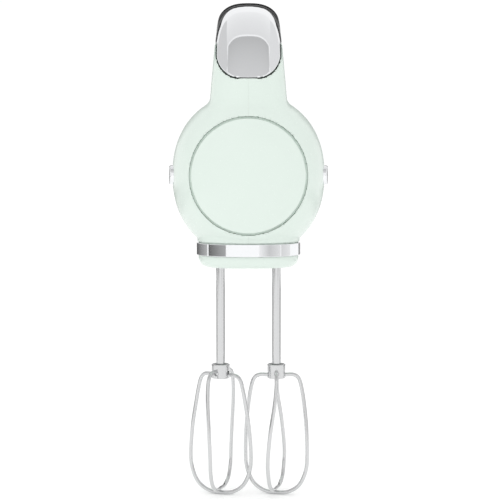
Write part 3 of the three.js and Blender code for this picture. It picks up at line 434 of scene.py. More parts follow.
def mirrored_copy(piece, name, replaced):
    """The piece's mirror image in the plane x = 0."""
    mesh = piece.data.copy()
    mesh.name = name
    count = len(mesh.vertices)
    places = np.zeros(count * 3)
    mesh.vertices.foreach_get("co", places)
    places = places.reshape(count, 3)
    places[:, 0] *= -1.0
    mesh.vertices.foreach_set("co", places.ravel())
    mesh.flip_normals()
    mesh.update()
    twin = bpy.data.objects.new(name, mesh)
    bpy.context.scene.collection.objects.link(twin)
    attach(twin, piece["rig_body"])
    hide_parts(*replaced)
    return twin


def turned(profile, segments=96):
    """Vertices and quads of a closed profile of (radius, height) points turned about the Z axis.

    A profile that touches the axis at both ends makes a closed cap; one that ends where it starts
    makes a ring.
    """
    profile = np.asarray(profile, float)
    closed = np.allclose(profile[0], profile[-1])
    rows = profile[:-1] if closed else profile
    angles = np.arange(segments) / segments * 2.0 * math.pi
    points = []
    index = []
    for radius, height in rows:
        if radius < 1e-6:
            index.append([len(points)] * segments)
            points.append((0.0, 0.0, height))
        else:
            index.append(list(range(len(points), len(points) + segments)))
            points += [(radius * math.cos(a), radius * math.sin(a), height) for a in angles]
    faces = []
    count = len(rows)
    spans = range(count) if closed else range(count - 1)
    for i in spans:
        lower, upper = index[i], index[(i + 1) % count]
        for j in range(segments):
            k = (j + 1) % segments
            corners = [lower[j], lower[k], upper[k], upper[j]]
            face = [c for n, c in enumerate(corners) if c not in corners[:n]]
            if len(face) > 2:
                faces.append(face)
    return np.array(points), faces


def turned_piece(name, profile, place, material, body, replaced, segments=96, sharp=40.0):
    points, faces = turned(profile, segments)
    mesh = bpy.data.meshes.new(name)
    places = np.array([place(p) for p in points]) * MM
    mesh.from_pydata(places.tolist(), [], faces)
    face_out(mesh)
    shade(mesh, sharp)
    return new_object(name, mesh, material, body, replaced)


def face_out(mesh):
    work = bmesh.new()
    work.from_mesh(mesh)
    bmesh.ops.recalc_face_normals(work, faces=work.faces)
    work.to_mesh(mesh)
    work.free()
    mesh.update()


def arc(centre, radius, start, end, count):
    """Points (radius, height) on a circular arc, angles in degrees."""
    angles = np.radians(np.linspace(start, end, count))
    return [(centre[0] + radius * math.cos(a), centre[1] + radius * math.sin(a)) for a in angles]


# ---------------------------------------------------------------- materials


def new_material(name):
    material = bpy.data.materials.new(name)
    material.use_nodes = True
    return material, material.node_tree.nodes, material.node_tree.links


def noise(nodes, links, scale, detail=2.0, roughness=0.5):
    coordinates = nodes.new("ShaderNodeTexCoord")
    texture = nodes.new("ShaderNodeTexNoise")
    texture.inputs["Scale"].default_value = scale
    texture.inputs["Detail"].default_value = detail
    texture.inputs["Roughness"].default_value = roughness
    links.new(coordinates.outputs["Object"], texture.inputs["Vector"])
    return texture


def ramp(nodes, links, factor, low, high):
    node = nodes.new("ShaderNodeMapRange")
    node.inputs["To Min"].default_value = low
    node.inputs["To Max"].default_value = high
    links.new(factor, node.inputs["Value"])
    return node.outputs["Result"]


def bump(nodes, links, height, strength, distance):
    node = nodes.new("ShaderNodeBump")
    node.inputs["Strength"].default_value = strength
    node.inputs["Distance"].default_value = distance
    links.new(height, node.inputs["Height"])
    return node.outputs["Normal"]


def tinted(nodes, links, factor, colour, spread):
    """A colour that varies by a small share about the given one."""
    node = nodes.new("ShaderNodeMix")
    node.data_type = "RGBA"
    links.new(factor, node.inputs["Factor"])
    dark = [c * (1.0 - spread) for c in colour]
    light = [min(1.0, c * (1.0 + spread)) for c in colour]
    node.inputs["A"].default_value = (*dark, 1.0)
    node.inputs["B"].default_value = (*light, 1.0)
    return node.outputs["Result"]


def plastic(name, colour, roughness, grain=900.0, grain_depth=0.02, spread=0.012, coat=0.0):
    material, nodes, links = new_material(name)
    shader = nodes["Principled BSDF"]
    broad = noise(nodes, links, 35.0)
    fine = noise(nodes, links, grain, detail=3.0)
    links.new(tinted(nodes, links, broad.outputs["Fac"], colour, spread), shader.inputs["Base Color"])
    links.new(ramp(nodes, links, fine.outputs["Fac"], roughness * 0.85, roughness * 1.15),
              shader.inputs["Roughness"])
    links.new(bump(nodes, links, fine.outputs["Fac"], grain_depth, 0.0003), shader.inputs["Normal"])
    shader.inputs["IOR"].default_value = 1.5
    shader.inputs["Coat Weight"].default_value = coat
    shader.inputs["Coat Roughness"].default_value = 0.06
    return material


def metal(name, colour, roughness, grain=1500.0, grain_depth=0.01, spread=0.01, stretch=(1.0, 1.0, 1.0)):
    material, nodes, links = new_material(name)
    shader = nodes["Principled BSDF"]
    shader.inputs["Metallic"].default_value = 1.0
    broad = noise(nodes, links, 60.0)
    fine = noise(nodes, links, grain, detail=2.0)
    mapping = nodes.new("ShaderNodeMapping")
    mapping.inputs["Scale"].default_value = stretch
    coordinates = nodes.new("ShaderNodeTexCoord")
    links.new(coordinates.outputs["Object"], mapping.inputs["Vector"])
    links.new(mapping.outputs["Vector"], fine.inputs["Vector"])
    links.new(tinted(nodes, links, broad.outputs["Fac"], colour, spread), shader.inputs["Base Color"])
    links.new(ramp(nodes, links, fine.outputs["Fac"], roughness * 0.8, roughness * 1.2),
              shader.inputs["Roughness"])
    links.new(bump(nodes, links, fine.outputs["Fac"], grain_depth, 0.0002), shader.inputs["Normal"])
    return material


MINT = plastic("mint_plastic", (0.717, 0.806, 0.747), 0.26, coat=0.05)
CHROME = metal("chrome_plate", (0.86, 0.87, 0.885), 0.06, grain_depth=0.004)
BLACK = plastic("black_gloss_plastic", (0.012, 0.012, 0.013), 0.14)
LENS = plastic("smoked_lens_plastic", (0.006, 0.007, 0.009), 0.04, coat=1.0)
GREY = plastic("grey_button_plastic", (0.22, 0.225, 0.23), 0.42, grain=2200.0, grain_depth=0.12)
RUBBER = plastic("black_rubber_moulding", (0.018, 0.018, 0.019), 0.72, grain=1800.0, grain_depth=0.25)
NYLON = plastic("natural_nylon", (0.78, 0.75, 0.66), 0.45, grain_depth=0.1)
BOARD = plastic("lacquered_board", (0.02, 0.12, 0.045), 0.35, grain=1400.0, grain_depth=0.1, spread=0.08)
STEEL = metal("machined_steel", (0.60, 0.61, 0.62), 0.24)
BEATER = metal("beater_steel", (0.63, 0.635, 0.64), 0.13, stretch=(1.0, 1.0, 0.06))
CORE = metal("core_sheets", (0.22, 0.225, 0.23), 0.5, stretch=(0.02, 1.0, 0.02), spread=0.1)
COPPER = metal("winding_copper", (0.62, 0.24, 0.10), 0.34, spread=0.08)
BRASS = metal("machined_brass", (0.72, 0.55, 0.26), 0.28)

SLOT_MATERIALS = {
    "mint_plastic": MINT,
    "chrome": CHROME,
    "black_gloss": BLACK,
    "smoked_lens": LENS,
    "grey_plastic": GREY,
    "black_rubber": RUBBER,
    "nylon": NYLON,
    "circuit_board": BOARD,
    "steel": STEEL,
    "beater_steel": BEATER,
    "core_steel": CORE,
    "copper": COPPER,
    "brass": BRASS,
}


def finish_frame_nodes():
    """Every carried-over node gets the finish of its slot."""
    for row in frame["record"]["subparts"]:
        node = frame["nodes"][row["node"]]
        node.data.materials.clear()
        node.data.materials.append(SLOT_MATERIALS[row["material_slot"]])


finish_frame_nodes()

# ---------------------------------------------------------------- housing and covers

CAP_CENTRE_Y = -88.0
CAP_GAP = 0.15
CAP_LEDGE = 0.6
CAP_LEDGE_Y = -94.9
BAND_SLOT = BAND_PROUD - BAND_THICKNESS - GAP
SIDE_X = 20.0
TRIM_MID = 193.5
TRIM_HALF = 5.7
TRIM_PITCH = 5.4
TRIM_REAR = -12.0
TRIM_FRONT = -76.0
TRIM_PROUD = 2.0
TRIM_DEPTH = 1.2
VENT_Z = 188.0
VENT_FIRST = 29.3
VENT_PITCH = 6.4
VENTS = 6
VENT_HALF_WIDTH = 1.3
VENT_HALF_HEIGHT = 8.0
CORD_Y = 84.0
CORD_NECK = 4.6


def trim_region(x, y, z, grow):
    middle = (TRIM_FRONT + TRIM_REAR) / 2.0
    straight = (TRIM_REAR - TRIM_FRONT) / 2.0 - TRIM_HALF
    stadium = np.hypot(np.maximum(np.abs(y - middle) - straight, 0.0), z - TRIM_MID) - TRIM_HALF - grow
    return np.maximum(stadium, SIDE_X - np.abs(x))


def vent_region(x, y, z):
    number = np.clip(np.round((y - VENT_FIRST) / VENT_PITCH), 0, VENTS - 1)
    along = y - VENT_FIRST - number * VENT_PITCH
    slot = rounded_rect(along, z - VENT_Z, VENT_HALF_WIDTH, VENT_HALF_HEIGHT, VENT_HALF_WIDTH - 0.05)
    return np.maximum(slot, SIDE_X - np.abs(x))


def housing_field(x, y, z):
    skin = skin_field(x, y, z)
    shell = shell_field(skin, WALL)
    cap_hole = np.maximum(np.hypot(x, z - BARREL_Z) - CAP_RADIUS - CAP_LEDGE - CAP_GAP, y - CAP_CENTRE_Y)
    shell = cut(shell, cap_hole, 0.4)
    plan = section_distance(x, y - DRIVE_Y, TURRET_HALF_X, TURRET_HALF_Y, TURRET_POWER)
    band_room = np.maximum(z - BAND_TOP - 2.0 * GAP, BAND_SLOT - plan)
    shell = cut(shell, np.maximum(band_room, y + 30.0), 0.4)
    shell = np.maximum(shell, np.minimum(BAND_LOW - 0.1 - z, 0.0 - y))
    shell = cut(shell, nose_region(x, y, z) - NOSE_GAP, 0.5)
    shell = np.maximum(shell, -nose_room(x, y, z))
    shell = cut(shell, panel_region(y, z) - GAP, 0.7)
    pocket = np.maximum(trim_region(x, y, z, GAP), -(skin + TRIM_DEPTH + GAP))
    shell = cut(shell, pocket, 0.4)
    shell = cut(shell, vent_region(x, y, z), 0.7)
    shell = cut(shell, np.maximum(np.hypot(x, y - CORD_Y) - CORD_NECK - GAP, z - BARREL_Z), 0.5)
    return np.maximum(shell, y - HEEL_COVER_Y)


def keep_right_side(mesh, plane):
    """Cuts the mesh at x = plane, drops what is left of it and closes the cut."""
    work = bmesh.new()
    work.from_mesh(mesh)
    everything = work.verts[:] + work.edges[:] + work.faces[:]
    bmesh.ops.bisect_plane(work, geom=everything, plane_co=(plane, 0, 0), plane_no=(1, 0, 0),
                           dist=1e-7, clear_inner=True)
    rim = [e for e in work.edges if e.is_boundary]
    bmesh.ops.triangle_fill(work, edges=rim, use_beauty=True, use_dissolve=False, normal=(-1, 0, 0))
    bmesh.ops.recalc_face_normals(work, faces=work.faces)
    work.to_mesh(mesh)
    work.free()
    mesh.update()


def make_housing():
    points, quads = mesh_of_field(housing_field, (-3.0, -101.0, 143.5), (48.0, 101.5, 305.0), 0.95)
    mesh = mesh_from("housing_right_shell", points, quads)
    keep_right_side(mesh, 0.02 * MM)
    shade(mesh, 50.0)
    right = new_object("housing_right_shell", mesh, MINT, "root", ["housing_right"])
    mirrored_copy(right, "housing_left_shell", ["housing_left"])


def upright_in_front(point):
    """Turns a piece made about Z so that its axis runs along Y through the barrel's centre."""
    return (point[0], point[2], BARREL_Z + point[1])


DOME_RADIUS = 80.0
DOME_ROUNDING = 0.4


def make_front_cap():
    """A shallow dome with a low ledge round it, which makes the ring groove with the housing's rim."""
    dome = DOME_RADIUS
    edge = CAP_RADIUS - CAP_LEDGE - DOME_ROUNDING
    sag = dome - math.sqrt(dome**2 - edge**2)
    outer = [(edge * t, -HALF_LENGTH + dome - math.sqrt(dome**2 - (edge * t) ** 2))
             for t in np.linspace(0.0, 1.0, 26)]
    rim = arc((edge, -HALF_LENGTH + sag + DOME_ROUNDING), DOME_ROUNDING, -62, 0, 6)
    outside = CAP_RADIUS + CAP_LEDGE
    back = [(edge + DOME_ROUNDING, CAP_LEDGE_Y), (outside, CAP_LEDGE_Y), (outside, -91.0)]
    back += [(CAP_RADIUS - 2.0, -91.0), (CAP_RADIUS - 2.4, -93.6)]
    inner = [(r * 0.92, y + 2.3) for r, y in reversed(outer)]
    turned_piece("front_cap_dome", outer + rim + back + inner, upright_in_front, MINT, "root",
                 ["front_cap"], segments=160)


HEEL_PAD = {"z": 206.0, "half_x": 13.0, "half_z": 22.0, "corner": 8.0, "floor": 102.4, "border": 3.0}
HEEL_SCREWS_Z = (178.8, 235.0)
RIB_PITCH = 4.0


def heel_field(x, y, z):
    plate = meet(skin_field(x, y, z), HEEL_COVER_Y + GAP - y, 0.5)
    half_x, half_z = HEEL_PAD["half_x"] + GAP, HEEL_PAD["half_z"] + GAP
    pad = rounded_rect(x, z - HEEL_PAD["z"], half_x, half_z, HEEL_PAD["corner"])
    plate = cut(plate, np.maximum(pad, HEEL_PAD["floor"] - GAP - y), 0.3)
    for height in HEEL_SCREWS_Z:
        reach = np.hypot(x, z - height)
        head = np.maximum(reach - SCREW_HEAD, HEEL_FACE_Y - 3.0 - y)
        plate = cut(plate, np.minimum(head, reach - SCREW_SHANK), 0.3)
    return plate


def heel_pad_field(x, y, z):
    """A pad grooved across inside a plain border."""
    up = z - HEEL_PAD["z"]
    half_x, half_z, corner = HEEL_PAD["half_x"], HEEL_PAD["half_z"], HEEL_PAD["corner"]
    border = HEEL_PAD["border"]
    pad = meet(rounded_rect(x, up, half_x, half_z, corner), y - HALF_LENGTH, 0.6)
    grooves = np.abs(((up + RIB_PITCH / 2.0) % RIB_PITCH) - RIB_PITCH / 2.0) - 0.6
    inside = rounded_rect(x, up, half_x - border, half_z - border, corner - border)
    grooves = np.maximum(np.maximum(grooves, inside), HALF_LENGTH - 0.7 - y)
    return cut(np.maximum(pad, HEEL_PAD["floor"] - y), grooves, 0.2)


def make_heel():
    field_piece("heel_cover_plate", heel_field, (-34, 97.5, 160), (34, 105.5, 262), 0.8, MINT,
                "root", ["heel_cover"])
    field_piece("heel_pad_ribbed", heel_pad_field, (-14, 101.5, 182), (14, 106, 230), 0.45, RUBBER,
                "root", ["heel_pad"])


def inlet_field(x, y, z):
    radius = np.hypot(x, y - CORD_Y)
    collar = meet(radius - 6.4, GAP - skin_field(x, y, z), 0.5)
    collar = meet(collar, 163.0 - z, 1.2)
    neck = np.maximum(radius - CORD_NECK, np.maximum(165.0 - z, z - 178.0))
    return cut(np.minimum(np.maximum(collar, z - 178.0), neck), radius - 3.2, 0.6)


def make_cord_inlet():
    field_piece("cord_inlet_grommet", inlet_field, (-8, 76, 161), (8, 92, 180), 0.4, RUBBER,
                "root", ["cord_inlet"])


def side_trim_field(x, y, z):
    skin = skin_field(x, y, z)
    bar = meet(trim_region(x, y, z, 0.0), skin - TRIM_PROUD, 0.8)
    bar = np.maximum(bar, -(skin + TRIM_DEPTH))
    middle = (TRIM_FRONT + TRIM_REAR) / 2.0
    number = np.clip(np.round((y - middle) / TRIM_PITCH), -4, 4)
    groove = np.abs(y - middle - number * TRIM_PITCH) - 0.8
    return cut(bar, np.maximum(groove, TRIM_PROUD - 0.8 - skin), 0.5)


def make_side_trims():
    right = field_piece("side_trim_bar_right", side_trim_field, (34, -78, 186.5), (48.5, -10.5, 200.5), 0.5,
                        CHROME, "root", ["side_trim_right"])
    mirrored_copy(right, "side_trim_bar_left", ["side_trim_left"])


# ---------------------------------------------------------------- turret band and base cover


def plan_place(point):
    """Bends a ring made about Z, of radius PLAN_RADIUS plus an offset, on to the turret's outline."""
    angle = math.atan2(point[1], point[0])
    offset = math.hypot(point[0], point[1]) - PLAN_RADIUS
    c, s = math.cos(angle), math.sin(angle)
    scale = (abs(c) ** TURRET_POWER + abs(s) ** TURRET_POWER) ** (-1.0 / TURRET_POWER)
    x = (TURRET_HALF_X + offset) * c * scale
    y = DRIVE_Y + (TURRET_HALF_Y + offset) * s * scale
    return (x, y, point[2])


PLAN_RADIUS = 50.0
BAND_EDGE = 0.2


def make_band():
    """The band as a ring; rows of points close to its edges keep its face flat in the shading."""
    outside = PLAN_RADIUS + BAND_PROUD
    inside = outside - BAND_THICKNESS
    edge = BAND_EDGE
    profile = [(inside, BAND_LOW), (outside - edge, BAND_LOW)]
    profile += arc((outside - edge, BAND_LOW + edge), edge, -90, 0, 5)[1:]
    profile += [(outside, BAND_LOW + 0.3), (outside, BAND_TOP - 0.3)]
    profile += arc((outside - edge, BAND_TOP - edge), edge, 0, 90, 5)
    profile += [(inside, BAND_TOP), (inside, BAND_LOW)]
    turned_piece("turret_band_ring", profile, plan_place, CHROME, "root", ["trim_band"], segments=288)


BASE_ROUNDING = 5.6
BASE_INSET = 0.7
BASE_WALL = 2.6
BASE_SCREW_AWAY = 19.0
BASE_SCREW_POST = 5.0
SOCKET_HOLE = 5.3
LIP_HALF_X = 23.0
LIP_HALF_Y = 8.0
LIP_DROP = 0.7


def base_field(x, y, z):
    half_x, half_y = TURRET_HALF_X - BASE_INSET, TURRET_HALF_Y - BASE_INSET
    plan = section_distance(x, y - DRIVE_Y, half_x, half_y, TURRET_POWER)
    qu = plan + BASE_ROUNDING
    qv = BASE_LOW - z + BASE_ROUNDING
    body = np.hypot(np.maximum(qu, 0.0), np.maximum(qv, 0.0))
    body = body + np.minimum(np.maximum(qu, qv), 0.0) - BASE_ROUNDING
    lip = rounded_rect(x, y - DRIVE_Y, LIP_HALF_X, LIP_HALF_Y, LIP_HALF_Y - 0.1)
    lip = meet(lip, np.maximum(BASE_LOW - LIP_DROP - z, z - BASE_LOW - 2.0), 0.4)
    body = join(body, lip, 0.4)
    body = meet(body, z - BAND_LOW + 0.12, 0.2)
    hollow = np.maximum(plan + BASE_WALL, BASE_LOW + BASE_WALL - z)
    body = np.maximum(body, -hollow)
    for side in (-1.0, 1.0):
        body = cut(body, np.hypot(x - side * BEATER_X, y - DRIVE_Y) - SOCKET_HOLE, 0.5)
        screw = np.hypot(x, y - DRIVE_Y - side * BASE_SCREW_AWAY)
        height = np.maximum(BASE_LOW + 1.0 - z, z - BASE_LOW - 6.0)
        body = join(body, np.maximum(screw - BASE_SCREW_POST, height), 0.6)
        body = cut(body, np.maximum(screw - SCREW_HEAD, z - BASE_LOW - 3.3), 0.4)
        body = np.maximum(body, -(screw - SCREW_SHANK))
    return body


def make_base():
    field_piece("base_cover_dish", base_field, (-32, -96, 137), (32, -36, 147.5), 0.55, MINT,
                "root", ["base_cover"])


# ---------------------------------------------------------------- nose lever, control panel, buttons

PANEL_WALL = 1.9
PANEL_PROUD = 0.5


def panel_proud(z):
    """How far the panel stands out: flush along its low side edges, and most on top."""
    return PANEL_PROUD * smooth(281.0, 291.0, z)


LUG = {"radius": 3.0, "front": -66.0, "half_height": 2.8, "middle": 11.0, "half_width": 1.5}
PIN_HOLE = 1.5


def nose_field(x, y, z):
    """A plate that follows the skin, with two lugs that hold the pin."""
    skin = skin_field(x, y, z)
    region = nose_region(x, y, z)
    plate = meet(shell_field(skin, NOSE_WALL), region, 0.5)
    y_pressed, z_pressed = about_pin(y, z, NOSE_TURN)
    plate = np.maximum(plate, GAP - panel_region(y_pressed, z_pressed))
    reach = np.hypot(y - PIN_Y, z - PIN_Z)
    arm = np.maximum(np.maximum(y - PIN_Y, LUG["front"] - y), np.abs(z - PIN_Z) - LUG["half_height"])
    side = np.abs(np.abs(x) - LUG["middle"]) - LUG["half_width"]
    lug = np.maximum(np.minimum(reach - LUG["radius"], arm), side)
    inside = np.minimum(skin + PANEL_WALL + 0.5, np.maximum(region, skin + 1.0))
    lug = np.maximum(lug, inside)
    lug = np.maximum(lug, PIN_HOLE - reach)
    return np.minimum(plate, lug)


def make_nose():
    field_piece("eject_nose", nose_field, (-22, -89, 249), (22, -43, 299), 0.6, CHROME,
                "eject_lever", ["eject_lever"])


ROCKER = {"y": -17.0, "half_x": 6.0, "half_y": 10.5, "corner": 4.0, "floor": 289.0}
TURBO = {"y": 4.0, "radius": 5.6, "floor": 290.0}
POWER = {"y": 18.0, "radius": 4.4, "floor": 289.5}
WINDOW = {"y": 29.0, "half_x": 6.0, "half_y": 4.5, "corner": 2.0, "floor": 290.5}
BUTTON_PROUD = 1.5
ROCKER_PROUD = 0.4
DISH = {"z": 338.1, "radius": 40.4}
MARK_AWAY = 6.8
HOLES_LOW = 288.0


def oblong_outline(x, y, piece):
    return rounded_rect(x, y - piece["y"], piece["half_x"], piece["half_y"], piece["corner"])


def round_outline(x, y, button):
    return np.hypot(x, y - button["y"]) - button["radius"]


def panel_field(x, y, z):
    skin = skin_field(x, y, z)
    panel = np.maximum(skin - panel_proud(z), -skin - PANEL_WALL)
    panel = meet(panel, panel_region(y, z), 0.8)
    high = HOLES_LOW - z
    panel = cut(panel, np.maximum(oblong_outline(x, y, ROCKER) - 0.6, high), 0.6)
    panel = cut(panel, np.maximum(oblong_outline(x, y, WINDOW) - GAP, high), 0.3)
    panel = cut(panel, np.maximum(round_outline(x, y, TURBO) - 0.4, high), 0.6)
    return cut(panel, np.maximum(round_outline(x, y, POWER) - 0.4, high), 0.6)


def rocker_field(x, y, z):
    """A dished rocker, with a minus cut into its front end and a plus into its rear end."""
    top = skin_field(x, y, z) - ROCKER_PROUD
    dish = DISH["radius"] - np.hypot(y - ROCKER["y"], z - DISH["z"])
    top = np.maximum(top, -dish)
    body = meet(oblong_outline(x, y, ROCKER), top, 0.8)
    front = y - ROCKER["y"] + MARK_AWAY
    rear = y - ROCKER["y"] - MARK_AWAY
    marks = np.minimum(rounded_rect(x, front, 2.0, 0.35, 0.3), rounded_rect(x, rear, 2.0, 0.35, 0.3))
    marks = np.minimum(marks, rounded_rect(x, rear, 0.35, 2.0, 0.3))
    body = cut(body, np.maximum(marks, -top - 0.35), 0.15)
    return np.maximum(body, ROCKER["floor"] - z)


def round_button_field(button):
    """A round button with a ring cut into its top."""
    def field(x, y, z):
        top = skin_field(x, y, z) - BUTTON_PROUD
        reach = np.hypot(x, y - button["y"])
        body = meet(reach - button["radius"], top, 0.9)
        ring = np.abs(reach - 0.55 * button["radius"]) - 0.3
        body = cut(body, np.maximum(ring, -top - 0.3), 0.15)
        return np.maximum(body, button["floor"] - z)

    return field


def lens_field(x, y, z):
    body = meet(oblong_outline(x, y, WINDOW), skin_field(x, y, z) - PANEL_PROUD, 0.4)
    return np.maximum(body, WINDOW["floor"] - z)


def make_controls():
    field_piece("control_panel_saddle", panel_field, (-22, -59, 277), (22, 44, 301), 0.55, BLACK,
                "root", ["control_panel"])
    field_piece("speed_rocker_cap", rocker_field, (-7, -28.5, 288), (7, -5.5, 301), 0.3, GREY,
                "speed_rocker", ["speed_rocker"])
    field_piece("turbo_button_cap", round_button_field(TURBO), (-7, -3, 289), (7, 11, 301), 0.3, GREY,
                "turbo_button", ["turbo_button"])
    field_piece("power_button_cap", round_button_field(POWER), (-6, 12, 288.5), (6, 24, 300), 0.3, GREY,
                "power_button", ["power_button"])
    field_piece("display_lens_window", lens_field, (-7, 23, 289.5), (7, 35, 298.5), 0.3, LENS,
                "root", ["display_lens"])


# ---------------------------------------------------------------- beaters

WIRE_RADIUS = 1.15
WIRE_SIDE = [
    (5.0, 74.4), (10.4, 74.1), (13.6, 71.4), (15.4, 65.0), (16.9, 55.0), (18.5, 41.0),
    (19.3, 25.0), (18.4, 15.5), (14.6, 7.4), (8.0, 3.2),
]
WIRE_BOTTOM = 2.5
WIDEST_Z = 24.0
SIDES = {"left": (-1.0, -30.0, 12.0), "right": (1.0, 0.0, -16.0)}
SHAFT_RADIUS = 2.6
COLLAR_RADIUS = 5.5
HOLE_Z = 74.4


def wire_path(x, start, twist, rise):
    def spot(radius, height, flip):
        turned_by = start + twist * (1.0 - smooth(WIDEST_Z, WIRE_SIDE[0][1], height))
        angle = math.radians(turned_by) + flip * math.pi
        lift = rise * (1.0 - (radius / 19.5) ** 2)
        return (x + radius * math.cos(angle), DRIVE_Y + radius * math.sin(angle), height + lift)

    down = [spot(r, z, 0) for r, z in WIRE_SIDE]
    up = [spot(r, z, 1) for r, z in reversed(WIRE_SIDE)]
    return spline(down + [(x, DRIVE_Y, WIRE_BOTTOM + rise)] + up, 14)


def swept(path, radius, sides=20):
    """Vertices and faces of a round tube along the path, closed at both ends."""
    along = np.gradient(path, axis=0)
    along /= np.linalg.norm(along, axis=1)[:, None]
    across = np.cross(along[0], (0.0, 0.0, 1.0))
    across /= np.linalg.norm(across)
    points = []
    angles = np.arange(sides) / sides * 2.0 * math.pi
    for at, ahead in zip(path, along):
        across = across - ahead * across.dot(ahead)
        across /= np.linalg.norm(across)
        third = np.cross(ahead, across)
        points += [at + radius * (math.cos(a) * across + math.sin(a) * third) for a in angles]
    faces = []
    for i in range(len(path) - 1):
        for j in range(sides):
            k = (j + 1) % sides
            faces.append((i * sides + j, i * sides + k, (i + 1) * sides + k, (i + 1) * sides + j))
    faces.append(tuple(range(sides)))
    faces.append(tuple(range((len(path) - 1) * sides, len(path) * sides)))
    return np.array(points), faces


def wire_piece(name, path, body, replaced):
    points, faces = swept(path, WIRE_RADIUS)
    mesh = bpy.data.meshes.new(name)
    mesh.from_pydata((points * MM).tolist(), [], faces)
    face_out(mesh)
    shade(mesh)
    return new_object(name, mesh, BEATER, body, replaced)


def collar_field(centre_x, start):
    holes = [math.radians(start + 90.0 * i) for i in range(4)]

    def field(x, y, z):
        u, v = x - centre_x, y - DRIVE_Y
        reach = np.hypot(u, v)
        body = meet(reach - COLLAR_RADIUS, np.maximum(COLLAR_LOW - z, z - COLLAR_HIGH), 0.7)
        cup = np.maximum(reach - COLLAR_RADIUS + 1.1, COLLAR_HIGH - 2.4 - z)
        body = cut(body, cup, 0.4)
        body = np.maximum(body, SHAFT_RADIUS + 0.02 - reach)
        for angle in holes:
            along = u * math.cos(angle) + v * math.sin(angle)
            side = -u * math.sin(angle) + v * math.cos(angle)
            hole = np.maximum(np.hypot(side, z - HOLE_Z) - WIRE_RADIUS - 0.25, 4.2 - along)
            body = cut(body, hole, 0.3)
        return body

    return field


def make_beater(side):
    sign, start, twist = SIDES[side]
    x = sign * BEATER_X
    body = "beater_" + side
    spread = WIRE_BOTTOM - WIRE_RADIUS
    wire_piece(f"whisk_wire_lower_{side}", wire_path(x, start, twist, -spread), body,
               [f"beater_loop_lower_{side}"])
    wire_piece(f"whisk_wire_upper_{side}", wire_path(x, start - 90.0, twist, spread), body,
               [f"beater_loop_upper_{side}"])
    field_piece(f"whisk_collar_{side}", collar_field(x, start), (x - 6.5, DRIVE_Y - 6.5, COLLAR_LOW - 1),
                (x + 6.5, DRIVE_Y + 6.5, COLLAR_HIGH + 1), 0.22, BEATER, body, [f"beater_collar_{side}"])
    low = COLLAR_LOW + 0.6
    profile = [(0.0, low), (SHAFT_RADIUS, low), (SHAFT_RADIUS, SHAFT_TOP - 1.4)]
    profile += arc((SHAFT_RADIUS - 1.2, SHAFT_TOP - 1.2), 1.2, 0, 90, 6)
    profile.append((0.0, SHAFT_TOP))
    turned_piece(f"whisk_shaft_{side}", profile, lambda p: (p[0] + x, p[1] + DRIVE_Y, p[2]), BEATER,
                 body, [f"beater_shaft_{side}"], segments=40)


# ---------------------------------------------------------------- eject spring

SPRING_TURNS = 4
SPRING_RADIUS = 4.6
SPRING_WIRE = 0.5


def make_eject_spring():
    """The return spring under the yoke; the real one shortens as the nose is pressed, but this coil keeps
    one length.
    """
    low, high = (corner[2] for corner in box_mm("eject_spring"))
    share = np.linspace(0.0, 1.0, 40 * SPRING_TURNS + 1)
    angle = 2.0 * math.pi * SPRING_TURNS * share
    path = np.stack([SPRING_RADIUS * np.cos(angle), DRIVE_Y + SPRING_RADIUS * np.sin(angle),
                     mix(low + SPRING_WIRE, high - SPRING_WIRE, share)], axis=1)
    points, faces = swept(path, SPRING_WIRE, 12)
    mesh = bpy.data.meshes.new("eject_return_spring")
    mesh.from_pydata((points * MM).tolist(), [], faces)
    face_out(mesh)
    shade(mesh)
    spring = new_object("eject_return_spring", mesh, STEEL, "root", ["eject_spring"])
    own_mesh(spring)


# ---------------------------------------------------------------- build

make_housing()
make_front_cap()
make_heel()
make_cord_inlet()
make_side_trims()
make_band()
make_base()
make_nose()
make_controls()
for beater_side in SIDES:
    make_beater(beater_side)
make_eject_spring()

# ---------------------------------------------------------------- floor, light and camera

CAMERA_DISTANCE = 0.900
CAMERA_HEIGHT = 0.213
CAMERA_X = 0.0009
AIM_HEIGHT = 0.1485
FRAME_WIDTH = 0.300
SENSOR = 36.0
FLOOR_HALF = 6.0
FLOOR_WHITE = 0.97
FLOOR_GLOW = 0.12
WORLD_LEVEL = 1.03
WORLD_SIDE_FALL = 0.12
KEY_POWER = 2.0
CARD_Z = 0.1025
CARD_HEIGHT = 0.045
CARD_CENTRE_Y = -0.09


def rectangle(name, half_w, half_h):
    mesh = bpy.data.meshes.new(name)
    corners = [(-half_w, -half_h, 0), (half_w, -half_h, 0), (half_w, half_h, 0), (-half_w, half_h, 0)]
    mesh.from_pydata(corners, [], [(0, 1, 2, 3)])
    return mesh


def floor_material():
    material, nodes, _ = new_material("floor_white")
    shader = nodes["Principled BSDF"]
    shader.inputs["Base Color"].default_value = (FLOOR_WHITE, FLOOR_WHITE, FLOOR_WHITE, 1.0)
    shader.inputs["Roughness"].default_value = 0.9
    shader.inputs["Specular IOR Level"].default_value = 0.0
    shader.inputs["Emission Color"].default_value = (1.0, 1.0, 1.0, 1.0)
    shader.inputs["Emission Strength"].default_value = FLOOR_GLOW
    return material


def make_floor():
    mesh = rectangle("studio_floor", FLOOR_HALF, FLOOR_HALF)
    mesh.materials.append(floor_material())
    floor = bpy.data.objects.new("studio_floor", mesh)
    bpy.context.scene.collection.objects.link(floor)


